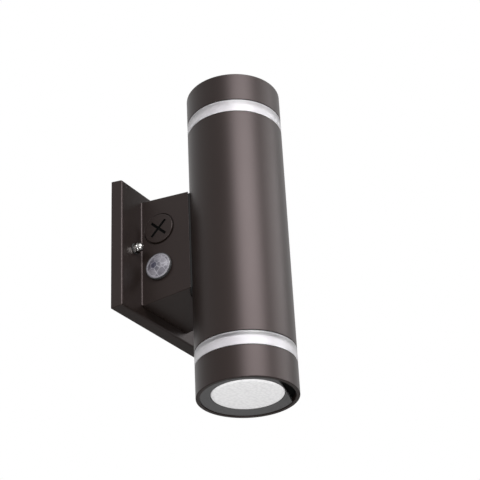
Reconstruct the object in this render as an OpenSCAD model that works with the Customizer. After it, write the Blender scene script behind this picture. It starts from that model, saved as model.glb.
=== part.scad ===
// Outdoor up-down wall light: a square canopy plate, a drafted arm and a round body with
// a lamp and a clear glowing ring at each end. Millimetres, +Z up, +Y into the wall.
// The origin is the centre of the canopy plate, on the wall.

/* [Canopy plate] */
// Width and height of the plate at the wall
plate_w = 119; // [112:1:130]
// Depth of the plate from the wall to its front face
plate_d = 10.4; // [9.6:0.2:14]
// How far each side leans in over the plate's depth
plate_lean = 1.2; // [0.4:0.2:2]
// Width of the rim's outer lip at the wall
rim_w = 3; // [2.4:0.2:4]
// Thickness of the plate's front wall
plate_front_t = 3; // [2:0.2:3.6]
// Bevel along the plate's front edges
plate_bevel = 0.8; // [0.2:0.1:1.2]
// Radius of the wire hole in the middle of the plate
plate_hole_r = 12; // [9:0.5:14]
// Width of the foam gasket behind the rim
wall_gasket_w = 4; // [3:0.5:6]
// Thickness of the foam gasket
wall_gasket_t = 1.6; // [1:0.1:2.4]

/* [Mounting strap] */
// Gap between the strap's ends and the foam gasket
strap_gap = 1; // [0.6:0.2:1.4]
// Width of the strap's arms
strap_w = 18; // [14:1:20]
// Thickness of the strap
strap_t = 1.8; // [1.2:0.1:2.4]
// Distance between the centres of the two slots for the wall box
slot_pitch = 79.4; // [76:0.2:82]
// Length of each slot, end to end
slot_l = 14.4; // [10:0.2:16]
// Width of each slot
slot_w = 4.8; // [4:0.1:5.6]
// Distance between the two mounting studs
stud_pitch = 81; // [78:1:86]
// Diameter of the studs
stud_d = 4.2; // [3.5:0.1:4.6]
// How far the ground screw stands from the strap's middle
ground_screw_x = 20; // [16:1:26]

/* [Cap nuts] */
// Width of the hexagon across its flats
nut_af = 7.9; // [7:0.1:9]
// Thickness of the hexagon
nut_hex_t = 3.2; // [2.5:0.1:4]
// Radius of the dome
nut_dome_r = 3.5; // [3:0.1:3.8]
// Thickness of the rubber washer under the nut
washer_t = 0.8; // [0.6:0.1:1.2]
// Diameter of the rubber washer
washer_d = 9.6; // [9.2:0.1:11]

/* [Arm] */
// Width of the arm where it meets the plate
arm_w = 63.6; // [60:0.2:66]
// Height of the arm where it meets the plate
arm_h = 98.4; // [96:0.2:104]
// Lean of each of the arm's four sides, in degrees
arm_draft = 5.1; // [3:0.1:6]
// Thickness of the arm's walls
arm_wall = 3; // [2.4:0.1:3.4]
// Thickness of the curved wall that faces the tube
saddle_wall = 4; // [3:0.1:5]
// Gap between the tube and the curved end of the arm, which the saddle gasket fills
saddle_gap = 1.5; // [1:0.1:2]
// How far the saddle gasket stays in from the arm's edges
saddle_inset = 1.2; // [0.8:0.1:2]
// How far the screws between arm and plate lie in from the arm's left and right sides
arm_screw_in_x = 8.8; // [8.4:0.1:9.6]
// How far the same screws lie in from the arm's top and bottom
arm_screw_in_z = 8.2; // [8:0.1:9]
// Length of the arm's screw bosses
arm_boss_l = 16; // [14:0.5:20]
// Radius of the arm's screw bosses
arm_boss_r = 4.6; // [4.4:0.1:5]
// Thickness of the seal between the arm and the plate
arm_gasket_t = 1.2; // [0.8:0.1:1.6]
// Distance between the screws that hold the tube to the arm
tube_screw_pitch = 64; // [58:1:68]

/* [Photocell] */
// Distance of the photocell and of the selector plug from the wall
side_out = 27.2; // [26:0.2:29]
// Height of the photocell's centre, below the middle
photocell_drop = 18; // [17:0.5:20]
// Diameter of the photocell's flange
photocell_flange_d = 23.2; // [22:0.2:25]
// Thickness of the flange
photocell_flange_t = 1.8; // [1.4:0.1:2.4]
// Diameter of the threaded barrel
photocell_barrel_d = 18; // [16:0.2:19]
// Length of the barrel behind the flange
photocell_barrel_l = 22; // [18:0.5:23]
// Diameter of the translucent lens
photocell_lens_d = 21.8; // [20:0.2:22]
// Height of the lens's dome above the flange
photocell_dome_h = 2.2; // [1.4:0.1:3]
// Width across flats of the lock nut
photocell_nut_af = 24; // [22:0.5:25]
// Thickness of the lock nut
photocell_nut_t = 4; // [3:0.5:5]

/* [Selector plug] */
// Height of the plug's centre, above the middle
plug_rise = 18; // [17:0.5:18.5]
// Diameter of the plug's head
plug_head_d = 26.4; // [25:0.2:27]
// Thickness of the plug's head
plug_head_t = 2.4; // [2.2:0.1:3]
// Depth of the recess that the head sits in
plug_recess = 1.2; // [0.8:0.1:1.6]
// Diameter of the threaded shank
plug_shank_d = 20; // [18:0.2:20.4]
// Length of the shank below the head
plug_shank_l = 6.8; // [6:0.1:7]
// Length of the cross slots in the head
cross_l = 18.6; // [16:0.2:20]
// Width of the cross slots
cross_w = 1.7; // [1.4:0.1:2.4]
// Depth of the cross slots
cross_deep = 1.4; // [0.8:0.1:1.6]
// Thickness of the plug's sealing ring
o_ring_d = 1.5; // [1.2:0.1:1.8]

/* [Selector switch] */
// Length of the selector's circuit board
board_l = 36; // [35:0.5:38]
// Width of the selector's circuit board
board_w = 22; // [18:0.5:24]
// Thickness of the circuit boards
board_t = 1.6; // [1:0.1:2]
// Size of the slide switch along its travel
switch_l = 12; // [11:0.5:14]
// Size of the slide switch across its travel
switch_w = 6; // [5:0.5:8]
// Height of the slide switch on its board
switch_h = 3.6; // [3:0.1:4]
// Width of the knob along its travel
knob_l = 3; // [2.4:0.1:3.6]
// Height of the knob above the switch
knob_h = 1.6; // [1:0.1:1.8]
// Knob travel from the middle position to either end
knob_travel = 2; // [1.5:0.1:2.4]

/* [Body tube] */
// Outer diameter of the tube, the clear rings and the end rings
tube_d = 80; // [79:0.5:82]
// Wall thickness of the tube
tube_wall = 3; // [2.4:0.1:3.4]
// Length of the tube between the two clear rings
tube_l = 201.6; // [198:0.2:206]
// Distance of the tube's axis from the wall
axis_out = 86.3; // [85.8:0.1:87.4]
// Radius of the screw ports' circle inside the tube
port_circle_r = 32.2; // [32:0.1:32.4]
// Radius of each screw port
port_r = 5.4; // [5.2:0.1:5.8]
// Radius of the wire hole between the tube and the arm
lead_hole_r = 7.5; // [7:0.1:8]

/* [Clear rings] */
// Height of the gap between the tube and an end ring
accent_h = 12.2; // [11:0.1:14]
// Radial thickness of the clear ring
accent_t = 4; // [3:0.1:4.2]
// Thickness of the flat seal on each face of the clear ring
ring_gasket_t = 0.6; // [0.4:0.1:0.8]
// Outer radius of the white sleeve that glows behind the clear ring
sleeve_r = 34.8; // [34.6:0.1:35.2]
// Thickness of the white sleeve
sleeve_t = 1.6; // [1.2:0.1:1.8]

/* [End rings] */
// Height of each end ring
end_h = 26.1; // [25:0.1:29]
// Thickness of the shelf inside the end ring
shelf_t = 4; // [3:0.1:5]
// Radius of the opening in the shelf
shelf_open_r = 28; // [27.6:0.1:28.6]
// Radius of the bore between the shelf and the lens
end_bore_r = 34.5; // [34:0.1:35]
// Thickness of the lip round the open end
lip_w = 3; // [2.6:0.1:3.4]
// Bevel on the outer edge of the lip
lip_bevel = 0.4; // [0.2:0.1:0.8]

/* [Lens and trim] */
// Radius of the part of the lens that shows
lens_r = 28.6; // [27:0.1:30]
// Depth of the lens's face behind the lip
lens_recess = 2; // [1.5:0.1:2.6]
// Thickness of the lens's raised middle
lens_boss_t = 1.9; // [1.6:0.1:2.4]
// Thickness of the lens's flange
lens_flange_t = 2.2; // [1.8:0.1:3]
// Thickness of the seal under the lens
lens_gasket_t = 0.8; // [0.6:0.1:1]
// Depth of the trim ring's outer edge behind the lip
trim_outer_recess = 0.8; // [0.5:0.1:1.2]
// Depth of the trim ring's inner edge behind the lip
trim_inner_recess = 2.4; // [2:0.1:3]

/* [Heat sinks and lamps] */
// Height of a heat sink
sink_h = 12; // [10:0.5:14]
// Thickness of a heat sink's base
sink_base_t = 6; // [5:0.5:7]
// Thickness of the ribs
rib_t = 2; // [1.6:0.1:2.6]
// Distance between the ribs
rib_pitch = 8; // [7.6:0.1:8.4]
// Radius of the lamp's circuit board
led_board_r = 27; // [25:0.5:27.4]
// Side of one light-emitting chip
led_size = 3.5; // [3:0.1:3.6]
// Thickness of one light-emitting chip
led_t = 0.9; // [0.6:0.1:1.2]
// Radius of the outer circle of chips
led_outer_r = 15; // [13:0.5:15.5]
// Radius of the inner circle of chips
led_inner_r = 6; // [5:0.5:7.5]
// Inner radius of the reflector at the board
reflector_in_r = 18; // [17.6:0.1:18.6]
// Inner radius of the reflector at the lens
reflector_out_r = 29.5; // [29:0.1:30]
// Thickness of the reflector
reflector_t = 1.3; // [1:0.1:1.6]
// Radius of the circle of screws that hold an end ring
end_screw_r = 31; // [30.8:0.1:31.2]

/* [Driver] */
// Width of the driver's case
driver_w = 40; // [34:1:42]
// Depth of the driver's case
driver_d = 28; // [22:1:29]
// Length of the driver's case
driver_l = 116; // [90:1:120]
// Thickness of the driver's bracket
bracket_t = 1.5; // [1:0.1:2]
// Distance of the bracket's front from the tube's axis, towards the wall
bracket_y = 14.7; // [14:0.1:16]

/* [Hidden] */
$fn = 96;

// Clearances, each between two faces that stay apart
thread_gap = 0.05;   // a screw in its tapped hole, and curved seals
slip_gap = 0.2;      // a piece that drops into its bore
plug_gap = 0.08;     // the plug in its tapped bore
switch_gap = 0.6;    // plug to knob, and switch to the end of the plug's bore
cut = 1;             // how far a cutting shape runs past the face it cuts
head_gap = 1;        // round the plug's head in its recess
blind_floor = 1;     // material left under a blind hole, and past a screw's tip

// Screws: radius, head radius and head height for each size
m25 = [1.25, 2.2, 1.6];
m3 = [1.5, 2.7, 2.2];
m4 = [2, 3.6, 2.6];
m5 = [2.5, 4.5, 3.2];
function shaft_r(size) = size[0];
function head_r(size) = size[1];
function head_h(size) = size[2];
function tap_r(size) = size[0] + thread_gap;
function pass_r(size) = size[0] + slip_gap;

// Heights and radii that follow from the driving sizes
tube_r = tube_d / 2;
tube_in_r = tube_r - tube_wall;
saddle_r = tube_r + saddle_gap;
saddle_in_r = saddle_r + saddle_wall;
cavity_w = plate_w - 2 * (rim_w + wall_gasket_w);
strap_l = cavity_w - 2 * strap_gap;
seat_z = tube_l / 2;
end_z = seat_z + accent_h;
tip_z = end_z + end_h;
shelf_z = end_z + shelf_t;
lip_r = tube_r - lip_w;
flange_z = tip_z - lens_recess - lens_boss_t;
lens_z = flange_z - lens_flange_t;
ledge_z = lens_z - lens_gasket_t;
sink_z = seat_z - sink_h;
screw_seat_z = seat_z - head_h(m4) - slip_gap;
board_top_z = seat_z + board_t;
port_angles = [30, 150, 270];
end_screw_angles = [90, 210, 330];

// Leads: radii, the reach of a rounded corner, and where the lamps' leads pass a heat sink
lead_r = 0.8;
supply_r = 1;
lead_bend = 4;
lead_y = -1.5 * rib_pitch;
sink_lead_r = 2 * lead_r + 1.2;
arm_screw_px = arm_w - 2 * arm_screw_in_x;
arm_screw_pz = arm_h - 2 * arm_screw_in_z;

// The arm's left face, which carries the photocell and the plug
function arm_half_w(out) = arm_w / 2 - (out - plate_d) * tan(arm_draft);
plug_bore_end = plug_recess + plug_shank_l + switch_gap;
gland_deep = o_ring_d + 2 * thread_gap;
gland_r = plug_shank_d / 2 + o_ring_d + 6 * thread_gap;
plug_boss_wall = 2.8;
plug_boss_r = plug_shank_d / 2 + plug_boss_wall;
knob_tip = plug_recess + plug_shank_l + switch_gap;
switch_top = knob_tip + knob_h;
board_deep = switch_top + switch_h;
post_r = 2.8;
post_weld = 1;
post_x = plug_boss_r + post_r - post_weld;
board_screw_grip = 5;

// Common shapes

module ring(r_out, r_in, z0, z1) {
    translate([0, 0, z0])
        difference() {
            cylinder(r = r_out, h = z1 - z0);
            translate([0, 0, -cut]) cylinder(r = r_in, h = z1 - z0 + 2 * cut);
        }
}

// A block on the XZ plane that runs towards -Y and leans in on all four sides
function lean_outline(half, deep, lean, bevel) = [
    [-half, 0], [half, 0],
    [half - lean * (deep - bevel) / deep, -(deep - bevel)], [half - lean - bevel, -deep],
    [-(half - lean - bevel), -deep], [-(half - lean * (deep - bevel) / deep), -(deep - bevel)]
];

module leaning_block(w, h, deep, lean, bevel) {
    intersection() {
        translate([0, 0, -h / 2 - cut])
            linear_extrude(h + 2 * cut) polygon(lean_outline(w / 2, deep, lean, bevel));
        rotate([0, 90, 0])
            translate([0, 0, -w / 2 - cut])
                linear_extrude(w + 2 * cut) polygon(lean_outline(h / 2, deep, lean, bevel));
    }
}

// A cylinder that starts at distance out from the wall and runs away from it
module outward(r, out, l) {
    translate([0, -out, 0]) rotate([90, 0, 0]) cylinder(r = r, h = l);
}

// A screw whose head sits on z = 0 and whose shank runs down
module screw(size, l, drive_r = 0) {
    difference() {
        union() {
            translate([0, 0, -l]) cylinder(r = shaft_r(size), h = l);
            cylinder(r = head_r(size), h = head_h(size));
        }
        cross_drive(size);
    }
}

module cross_drive(size) {
    for (turn = [0, 90])
        rotate(turn)
            translate([0, 0, head_h(size)])
                cube([head_r(size) * 1.1, head_r(size) * 0.26, head_h(size)], center = true);
}

module at_axis() {
    translate([0, -axis_out, 0]) children();
}

// The pieces of an end are drawn for the top and mirrored for the bottom
module at_end(top) {
    at_axis() {
        if (top) children();
        else mirror([0, 0, 1]) children();
    }
}

module on_circle(r, angles) {
    for (a = angles)
        rotate(a) translate([r, 0, 0]) children();
}

// Local +Z points out of the arm's left face and local +X points up
module on_arm_side(height) {
    translate([-arm_half_w(side_out), -side_out, height])
        rotate([0, 0, arm_draft])
            rotate([0, -90, 0])
                children();
}

// The same place as a point: across runs to the wall, deep runs into the arm
function arm_side_point(height, up, across, deep) = [
    -arm_half_w(side_out) + deep * cos(arm_draft) - across * sin(arm_draft),
    -side_out + deep * sin(arm_draft) + across * cos(arm_draft),
    height + up
];

// A round lead: the corners of its route are rounded, then one skin is swept along it.
// The skin is turned from a direction that no lead runs along.
function unit(v) = v / norm(v);
lead_reference = unit([0.62, 0.47, 0.63]);
function corner_curve(a, b, c, reach, steps) =
    let (from = b + unit(a - b) * reach, to = b + unit(c - b) * reach)
    [for (i = [0 : steps]) let (t = i / steps)
        (1 - t) * (1 - t) * from + 2 * t * (1 - t) * b + t * t * to];
function corner_reach(a, b, c) = min(lead_bend, norm(a - b) * 0.45, norm(c - b) * 0.45);
function rounded_route(points) = let (last = len(points) - 1) [
    points[0],
    for (i = [1 : last - 1])
        each corner_curve(points[i - 1], points[i], points[i + 1],
            corner_reach(points[i - 1], points[i], points[i + 1]), 3),
    points[last]
];
function heading(route, i) =
    unit(route[min(i + 1, len(route) - 1)] - route[max(i - 1, 0)]);

module lead(points, r) {
    sides = 8;
    route = rounded_route(points);
    rings = len(route);
    skin = [
        for (i = [0 : rings - 1])
            let (
                ahead = heading(route, i),
                across = unit(cross(ahead, lead_reference)),
                over = cross(ahead, across)
            )
            for (k = [0 : sides - 1])
                route[i] + r * (cos(360 * k / sides) * across + sin(360 * k / sides) * over)
    ];
    polyhedron(skin, concat(
        [[for (k = [0 : sides - 1]) k]],
        [for (i = [0 : rings - 2], k = [0 : sides - 1], half = [0, 1])
            let (next = (k + 1) % sides, low = i * sides, high = low + sides)
            half == 0 ? [low + k, high + k, high + next] : [low + k, high + next, low + next]],
        [[for (k = [sides - 1 : -1 : 0]) (rings - 1) * sides + k]]
    ));
}

// Canopy and mounting

module back_plate() {
    color([0.20, 0.18, 0.17])
        difference() {
            leaning_block(plate_w, plate_w, plate_d, plate_lean, plate_bevel);
            translate([-cavity_w / 2, -(plate_d - plate_front_t), -cavity_w / 2])
                cube([cavity_w, plate_d, cavity_w]);
            translate([rim_w - plate_w / 2, -wall_gasket_t, rim_w - plate_w / 2])
                cube([plate_w - 2 * rim_w, plate_d, plate_w - 2 * rim_w]);
            outward(plate_hole_r, 0, plate_d + cut);
            for (side = [-1, 1])
                translate([side * stud_pitch / 2, 0, 0])
                    outward(stud_d / 2 + 2 * slip_gap, 0, plate_d + cut);
            for (side = [-1, 1], up = [-1, 1])
                translate([side * arm_screw_px / 2, 0, up * arm_screw_pz / 2])
                    outward(pass_r(m5), 0, plate_d + cut);
        }
}

module wall_gasket() {
    outer = plate_w - 2 * rim_w - slip_gap;
    color([0.12, 0.12, 0.12])
        translate([0, -wall_gasket_t, 0])
            difference() {
                translate([-outer / 2, 0, -outer / 2])
                    cube([outer, wall_gasket_t, outer]);
                translate([-cavity_w / 2, -cut, -cavity_w / 2])
                    cube([cavity_w, wall_gasket_t + 2 * cut, cavity_w]);
            }
}

module box_slot() {
    rotate([90, 0, 0])
        translate([0, 0, -cut]) {
            for (end = [-1, 1])
                translate([0, end * (slot_l - slot_w) / 2, 0])
                    cylinder(d = slot_w, h = strap_t + 2 * cut);
            translate([-slot_w / 2, -(slot_l - slot_w) / 2, 0])
                cube([slot_w, slot_l - slot_w, strap_t + 2 * cut]);
        }
}

module crossbar() {
    color([0.72, 0.72, 0.70])
        difference() {
            union() {
                translate([-strap_l / 2, -strap_t, -strap_w / 2])
                    cube([strap_l, strap_t, strap_w]);
                translate([-strap_w / 2, -strap_t, -strap_l / 2])
                    cube([strap_w, strap_t, strap_l]);
            }
            for (up = [-1, 1])
                translate([0, 0, up * slot_pitch / 2]) box_slot();
            for (side = [-1, 1])
                translate([side * stud_pitch / 2, 0, 0])
                    outward(stud_d / 2 + thread_gap, -cut, strap_t + 2 * cut);
            translate([-ground_screw_x, 0, 0]) outward(tap_r(m4), -cut, strap_t + 2 * cut);
        }
}

module ground_screw() {
    color([0.10, 0.45, 0.20])
        translate([-ground_screw_x, -strap_t, 0])
            rotate([90, 0, 0])
                difference() {
                    union() {
                        cylinder(r = head_r(m4), h = head_h(m4), $fn = 6);
                        translate([0, 0, -strap_t]) cylinder(r = shaft_r(m4), h = strap_t);
                    }
                    cross_drive(m4);
                }
}

nut_seat = plate_d + washer_t;
nut_deep = nut_hex_t + nut_dome_r / 2;

module mounting_studs() {
    color([0.75, 0.75, 0.74])
        for (side = [-1, 1])
            translate([side * stud_pitch / 2, 0, 0])
                outward(stud_d / 2, 0, nut_seat + nut_deep);
}

module seal_washers() {
    color([0.08, 0.08, 0.08])
        for (side = [-1, 1])
            translate([side * stud_pitch / 2, -plate_d, 0])
                rotate([90, 0, 0])
                    ring(washer_d / 2, stud_d / 2 + thread_gap, 0, washer_t);
}

module cap_nut() {
    neck = nut_hex_t / 4;
    difference() {
        union() {
            cylinder(d = nut_af / cos(30), h = nut_hex_t, $fn = 6);
            cylinder(r = nut_dome_r, h = nut_hex_t + neck);
            translate([0, 0, nut_hex_t + neck])
                intersection() {
                    sphere(r = nut_dome_r);
                    cylinder(r = nut_dome_r + cut, h = nut_dome_r + cut);
                }
        }
        translate([0, 0, -cut])
            cylinder(r = stud_d / 2 + thread_gap, h = nut_deep + thread_gap + cut);
    }
}

module cap_nuts() {
    color([0.85, 0.85, 0.86])
        for (side = [-1, 1])
            translate([side * stud_pitch / 2, -nut_seat, 0])
                rotate([90, 0, 0])
                    cap_nut();
}

// Arm

arm_deep = axis_out - plate_d;
arm_side_t = arm_wall * cos(arm_draft);
boss_floor = 2;
tube_boss_l = 5;
tube_boss_out = axis_out - saddle_in_r - tube_boss_l;
arm_front_out = axis_out - sqrt(pow(saddle_r, 2) - pow(arm_half_w(axis_out - saddle_r), 2));

// The arm's outline drawn in by inset, as deep as the tube's axis, and back behind the plate's face
module arm_block(inset, back = 0) {
    deep = arm_deep + back;
    grow = 2 * back * tan(arm_draft);
    translate([0, back - plate_d, 0])
        leaning_block(arm_w - 2 * inset + grow, arm_h - 2 * inset + grow, deep,
            deep * tan(arm_draft), plate_bevel);
}

module arm_cavity() {
    difference() {
        arm_block(arm_wall, cut);
        at_axis() translate([0, 0, -arm_h]) cylinder(r = saddle_in_r, h = 2 * arm_h);
        for (side = [-1, 1], up = [-1, 1])
            arm_boss(side, up);
        for (up = [-1, 1])
            translate([0, 0, up * tube_screw_pitch / 2])
                outward(head_r(m5) + 1, tube_boss_out, tube_boss_l + 2 * saddle_wall);
        on_arm_side(plug_rise) {
            translate([0, 0, -plug_bore_end]) cylinder(r = plug_boss_r, h = plug_bore_end);
            for (up = [-1, 1])
                translate([up * post_x, 0, -board_deep]) cylinder(r = post_r, h = board_deep);
        }
    }
}

module arm_boss(side, up) {
    x = side * arm_screw_px / 2;
    z = up * arm_screw_pz / 2;
    reach = arm_w / 2 - arm_screw_px / 2;
    translate([x, 0, z]) {
        outward(arm_boss_r, plate_d, arm_boss_l);
        translate([side > 0 ? 0 : -reach, -plate_d - arm_boss_l, -arm_boss_r])
            cube([reach, arm_boss_l, 2 * arm_boss_r]);
        translate([-arm_boss_r, -plate_d - arm_boss_l, up > 0 ? 0 : -(arm_h - arm_screw_pz) / 2])
            cube([2 * arm_boss_r, arm_boss_l, (arm_h - arm_screw_pz) / 2]);
    }
}

module arm_housing() {
    rebate_w = arm_w - arm_wall;
    rebate_h = arm_h - arm_wall;
    color([0.22, 0.20, 0.19])
        difference() {
            arm_block(0);
            arm_cavity();
            at_axis() translate([0, 0, -arm_h]) cylinder(r = saddle_r, h = 2 * arm_h);
            translate([-rebate_w / 2, -plate_d - arm_gasket_t, -rebate_h / 2])
                cube([rebate_w, arm_gasket_t + cut, rebate_h]);
            for (side = [-1, 1], up = [-1, 1])
                translate([side * arm_screw_px / 2, 0, up * arm_screw_pz / 2])
                    outward(tap_r(m5), plate_d - cut, arm_boss_l - boss_floor + cut);
            for (up = [-1, 1])
                translate([0, 0, up * tube_screw_pitch / 2])
                    outward(tap_r(m5), tube_boss_out - cut, tube_boss_l + saddle_wall + 4 * cut);
            outward(lead_hole_r, tube_boss_out, saddle_wall + 2 * tube_boss_l);
            on_arm_side(-photocell_drop)
                translate([0, 0, -arm_wall - cut])
                    cylinder(d = photocell_barrel_d + 2 * slip_gap, h = arm_wall + 2 * cut);
            on_arm_side(plug_rise) {
                translate([0, 0, -plug_recess])
                    cylinder(d = plug_head_d + 2 * head_gap, h = plug_recess + cut);
                translate([0, 0, -plug_recess - gland_deep]) cylinder(r = gland_r, h = gland_deep + cut);
                translate([0, 0, -plug_bore_end - cut])
                    cylinder(r = plug_shank_d / 2 + plug_gap, h = plug_bore_end + 2 * cut);
                for (up = [-1, 1])
                    translate([up * post_x, 0, -board_deep - cut])
                        cylinder(r = tap_r(m25), h = board_screw_grip + blind_floor + cut);
            }
        }
}

// A frame of seal cord in the rebate of the arm's rear rim
module arm_gasket() {
    outer_w = arm_w - arm_wall - slip_gap;
    outer_h = arm_h - arm_wall - slip_gap;
    overhang = 0.6;
    band = arm_wall / 2 + overhang;
    color([0.10, 0.10, 0.10])
        difference() {
            translate([-outer_w / 2, -plate_d - arm_gasket_t, -outer_h / 2])
                cube([outer_w, arm_gasket_t, outer_h]);
            translate([band - outer_w / 2, -plate_d - arm_gasket_t - cut, band - outer_h / 2])
                cube([outer_w - 2 * band, arm_gasket_t + 2 * cut, outer_h - 2 * band]);
        }
}

module arm_screws() {
    color([0.70, 0.70, 0.70])
        for (side = [-1, 1], up = [-1, 1])
            translate([side * arm_screw_px / 2, plate_front_t - plate_d, up * arm_screw_pz / 2])
                rotate([-90, 0, 0])
                    screw(m5, plate_front_t + arm_boss_l - 2 * boss_floor);
}

module saddle_gasket() {
    half_w = arm_half_w(arm_front_out) - saddle_inset;
    half_h = arm_h / 2 - (arm_front_out - plate_d) * tan(arm_draft) - saddle_inset;
    color([0.07, 0.07, 0.07])
        difference() {
            intersection() {
                at_axis() ring(saddle_r - thread_gap, tube_r + thread_gap, -half_h, half_h);
                translate([-half_w, -axis_out, -half_h]) cube([2 * half_w, axis_out, 2 * half_h]);
            }
            outward(lead_hole_r, 0, axis_out);
            for (up = [-1, 1])
                translate([0, 0, up * tube_screw_pitch / 2]) outward(pass_r(m5), 0, axis_out);
        }
}

// The flat heads clear the tube's curved inner wall at their edges
head_plane = sqrt(pow(tube_in_r, 2) - pow(head_r(m5), 2)) - thread_gap;

module tube_screws() {
    color([0.70, 0.70, 0.70])
        for (up = [-1, 1])
            at_axis()
                translate([0, head_plane, up * tube_screw_pitch / 2])
                    rotate([90, 0, 0])
                        screw(m5, saddle_in_r + tube_boss_l - blind_floor - head_plane);
}

module wire_grommet() {
    flange_t = 2;
    wall_t = 2.7;
    inside_tube = 1;
    color([0.06, 0.06, 0.06])
        difference() {
            union() {
                outward(lead_hole_r - slip_gap / 2, axis_out - saddle_in_r - flange_t,
                    saddle_in_r + flange_t - tube_in_r + inside_tube);
                difference() {
                    outward(lead_hole_r + flange_t, axis_out - saddle_in_r - flange_t, 2 * flange_t);
                    at_axis() translate([0, 0, -arm_h])
                        cylinder(r = saddle_in_r + thread_gap, h = 2 * arm_h);
                }
            }
            outward(lead_hole_r - wall_t, 0, axis_out);
        }
}

// Photocell

photocell_seat = 0.8;    // thickness of the seal under the flange
photocell_floor = 0.6;   // flange left under the lens
barrel_wall = 1.5;
lead_exit_deep = 3;
sensor_r = 4;
sensor_t = 1.2;
sensor_deep = 2;         // depth of the sensor's place below the lens
lens_seat = photocell_seat + photocell_floor;

module photocell_body() {
    color([0.30, 0.30, 0.31])
        on_arm_side(-photocell_drop)
            difference() {
                union() {
                    translate([0, 0, photocell_seat])
                        cylinder(d = photocell_flange_d, h = photocell_flange_t);
                    translate([0, 0, -photocell_barrel_l])
                        cylinder(d = photocell_barrel_d, h = photocell_barrel_l + photocell_seat);
                }
                translate([0, 0, lens_seat])
                    cylinder(d = photocell_lens_d + slip_gap, h = photocell_flange_t + cut);
                translate([0, 0, lens_seat - sensor_deep])
                    cylinder(d = photocell_barrel_d - 2 * barrel_wall, h = sensor_deep + cut);
                translate([0, 0, -photocell_barrel_l - cut])
                    cylinder(r = 3 * lead_r + slip_gap, h = lead_exit_deep + cut);
            }
}

module photocell_lens() {
    rim_t = photocell_seat + photocell_flange_t - lens_seat;
    lens_half = photocell_lens_d / 2;
    dome_r = (pow(lens_half, 2) + pow(photocell_dome_h, 2)) / (2 * photocell_dome_h);
    color([0.62, 0.63, 0.65])
        on_arm_side(-photocell_drop)
            translate([0, 0, lens_seat]) {
                cylinder(r = lens_half, h = rim_t);
                translate([0, 0, rim_t])
                    intersection() {
                        translate([0, 0, photocell_dome_h - dome_r]) sphere(r = dome_r, $fn = 160);
                        cylinder(r = lens_half, h = photocell_dome_h + cut);
                    }
            }
}

module photocell_sensor() {
    color([0.55, 0.50, 0.42])
        on_arm_side(-photocell_drop)
            translate([0, 0, lens_seat - sensor_deep]) cylinder(r = sensor_r, h = sensor_t);
}

module photocell_gasket() {
    color([0.06, 0.06, 0.06])
        on_arm_side(-photocell_drop)
            ring(photocell_flange_d / 2 - slip_gap, photocell_barrel_d / 2 + thread_gap, 0, photocell_seat);
}

module photocell_nut() {
    color([0.25, 0.25, 0.26])
        on_arm_side(-photocell_drop)
            translate([0, 0, -arm_side_t - photocell_nut_t])
                difference() {
                    cylinder(d = photocell_nut_af / cos(30), h = photocell_nut_t, $fn = 6);
                    translate([0, 0, -cut])
                        cylinder(r = photocell_barrel_d / 2 + thread_gap, h = photocell_nut_t + 2 * cut);
                }
}

// Selector plug: the head closes the recess, the shank screws into the arm's boss

module switch_plug() {
    bevel = 0.5;
    head_top = plug_head_t - plug_recess;
    color([0.21, 0.19, 0.18])
        on_arm_side(plug_rise)
            difference() {
                union() {
                    translate([0, 0, -plug_recess])
                        rotate_extrude()
                            polygon([
                                [0, 0], [plug_head_d / 2, 0], [plug_head_d / 2, plug_head_t - bevel],
                                [plug_head_d / 2 - bevel, plug_head_t], [0, plug_head_t]
                            ]);
                    translate([0, 0, -plug_recess - plug_shank_l])
                        cylinder(d = plug_shank_d, h = plug_shank_l + plug_recess);
                }
                for (turn = [45, 135])
                    rotate(turn)
                        translate([0, 0, head_top])
                            cube([cross_l, cross_w, 2 * cross_deep], center = true);
            }
}

module plug_o_ring() {
    ring_r = plug_shank_d / 2 + o_ring_d / 2 + thread_gap;
    color([0.05, 0.05, 0.05])
        on_arm_side(plug_rise)
            translate([0, 0, -plug_recess - thread_gap - o_ring_d / 2])
                rotate_extrude() translate([ring_r, 0]) circle(d = o_ring_d, $fn = 48);
}

// Selector: a board on two posts behind the plug, with a three-place slide switch

module selector_board() {
    color([0.10, 0.32, 0.18])
        on_arm_side(plug_rise)
            difference() {
                translate([-board_l / 2, -board_w / 2, -board_deep - board_t])
                    cube([board_l, board_w, board_t]);
                for (up = [-1, 1])
                    translate([up * post_x, 0, -board_deep - board_t - cut])
                        cylinder(r = pass_r(m25), h = board_t + 2 * cut);
            }
}

knob_root = 1.4;
knob_w = 2.4;

module selector_switch() {
    window_l = knob_l + 2 * knob_travel + 2 * slip_gap;
    color([0.15, 0.15, 0.16])
        on_arm_side(plug_rise)
            difference() {
                translate([-switch_w / 2, -switch_l / 2, -board_deep])
                    cube([switch_w, switch_l, switch_h]);
                translate([-knob_w / 2 - slip_gap, -window_l / 2, -switch_top - knob_root - slip_gap])
                    cube([knob_w + 2 * slip_gap, window_l, knob_root + slip_gap + cut]);
            }
}

module selector_knob() {
    color([0.88, 0.88, 0.86])
        on_arm_side(plug_rise)
            translate([-knob_w / 2, -knob_l / 2, -switch_top - knob_root])
                cube([knob_w, knob_l, knob_h + knob_root]);
}

module board_screws() {
    color([0.72, 0.72, 0.72])
        on_arm_side(plug_rise)
            for (up = [-1, 1])
                translate([up * post_x, 0, -board_deep - board_t])
                    rotate([180, 0, 0])
                        screw(m25, board_t + board_screw_grip);
}

// Body tube with three screw ports along its inner wall

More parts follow.
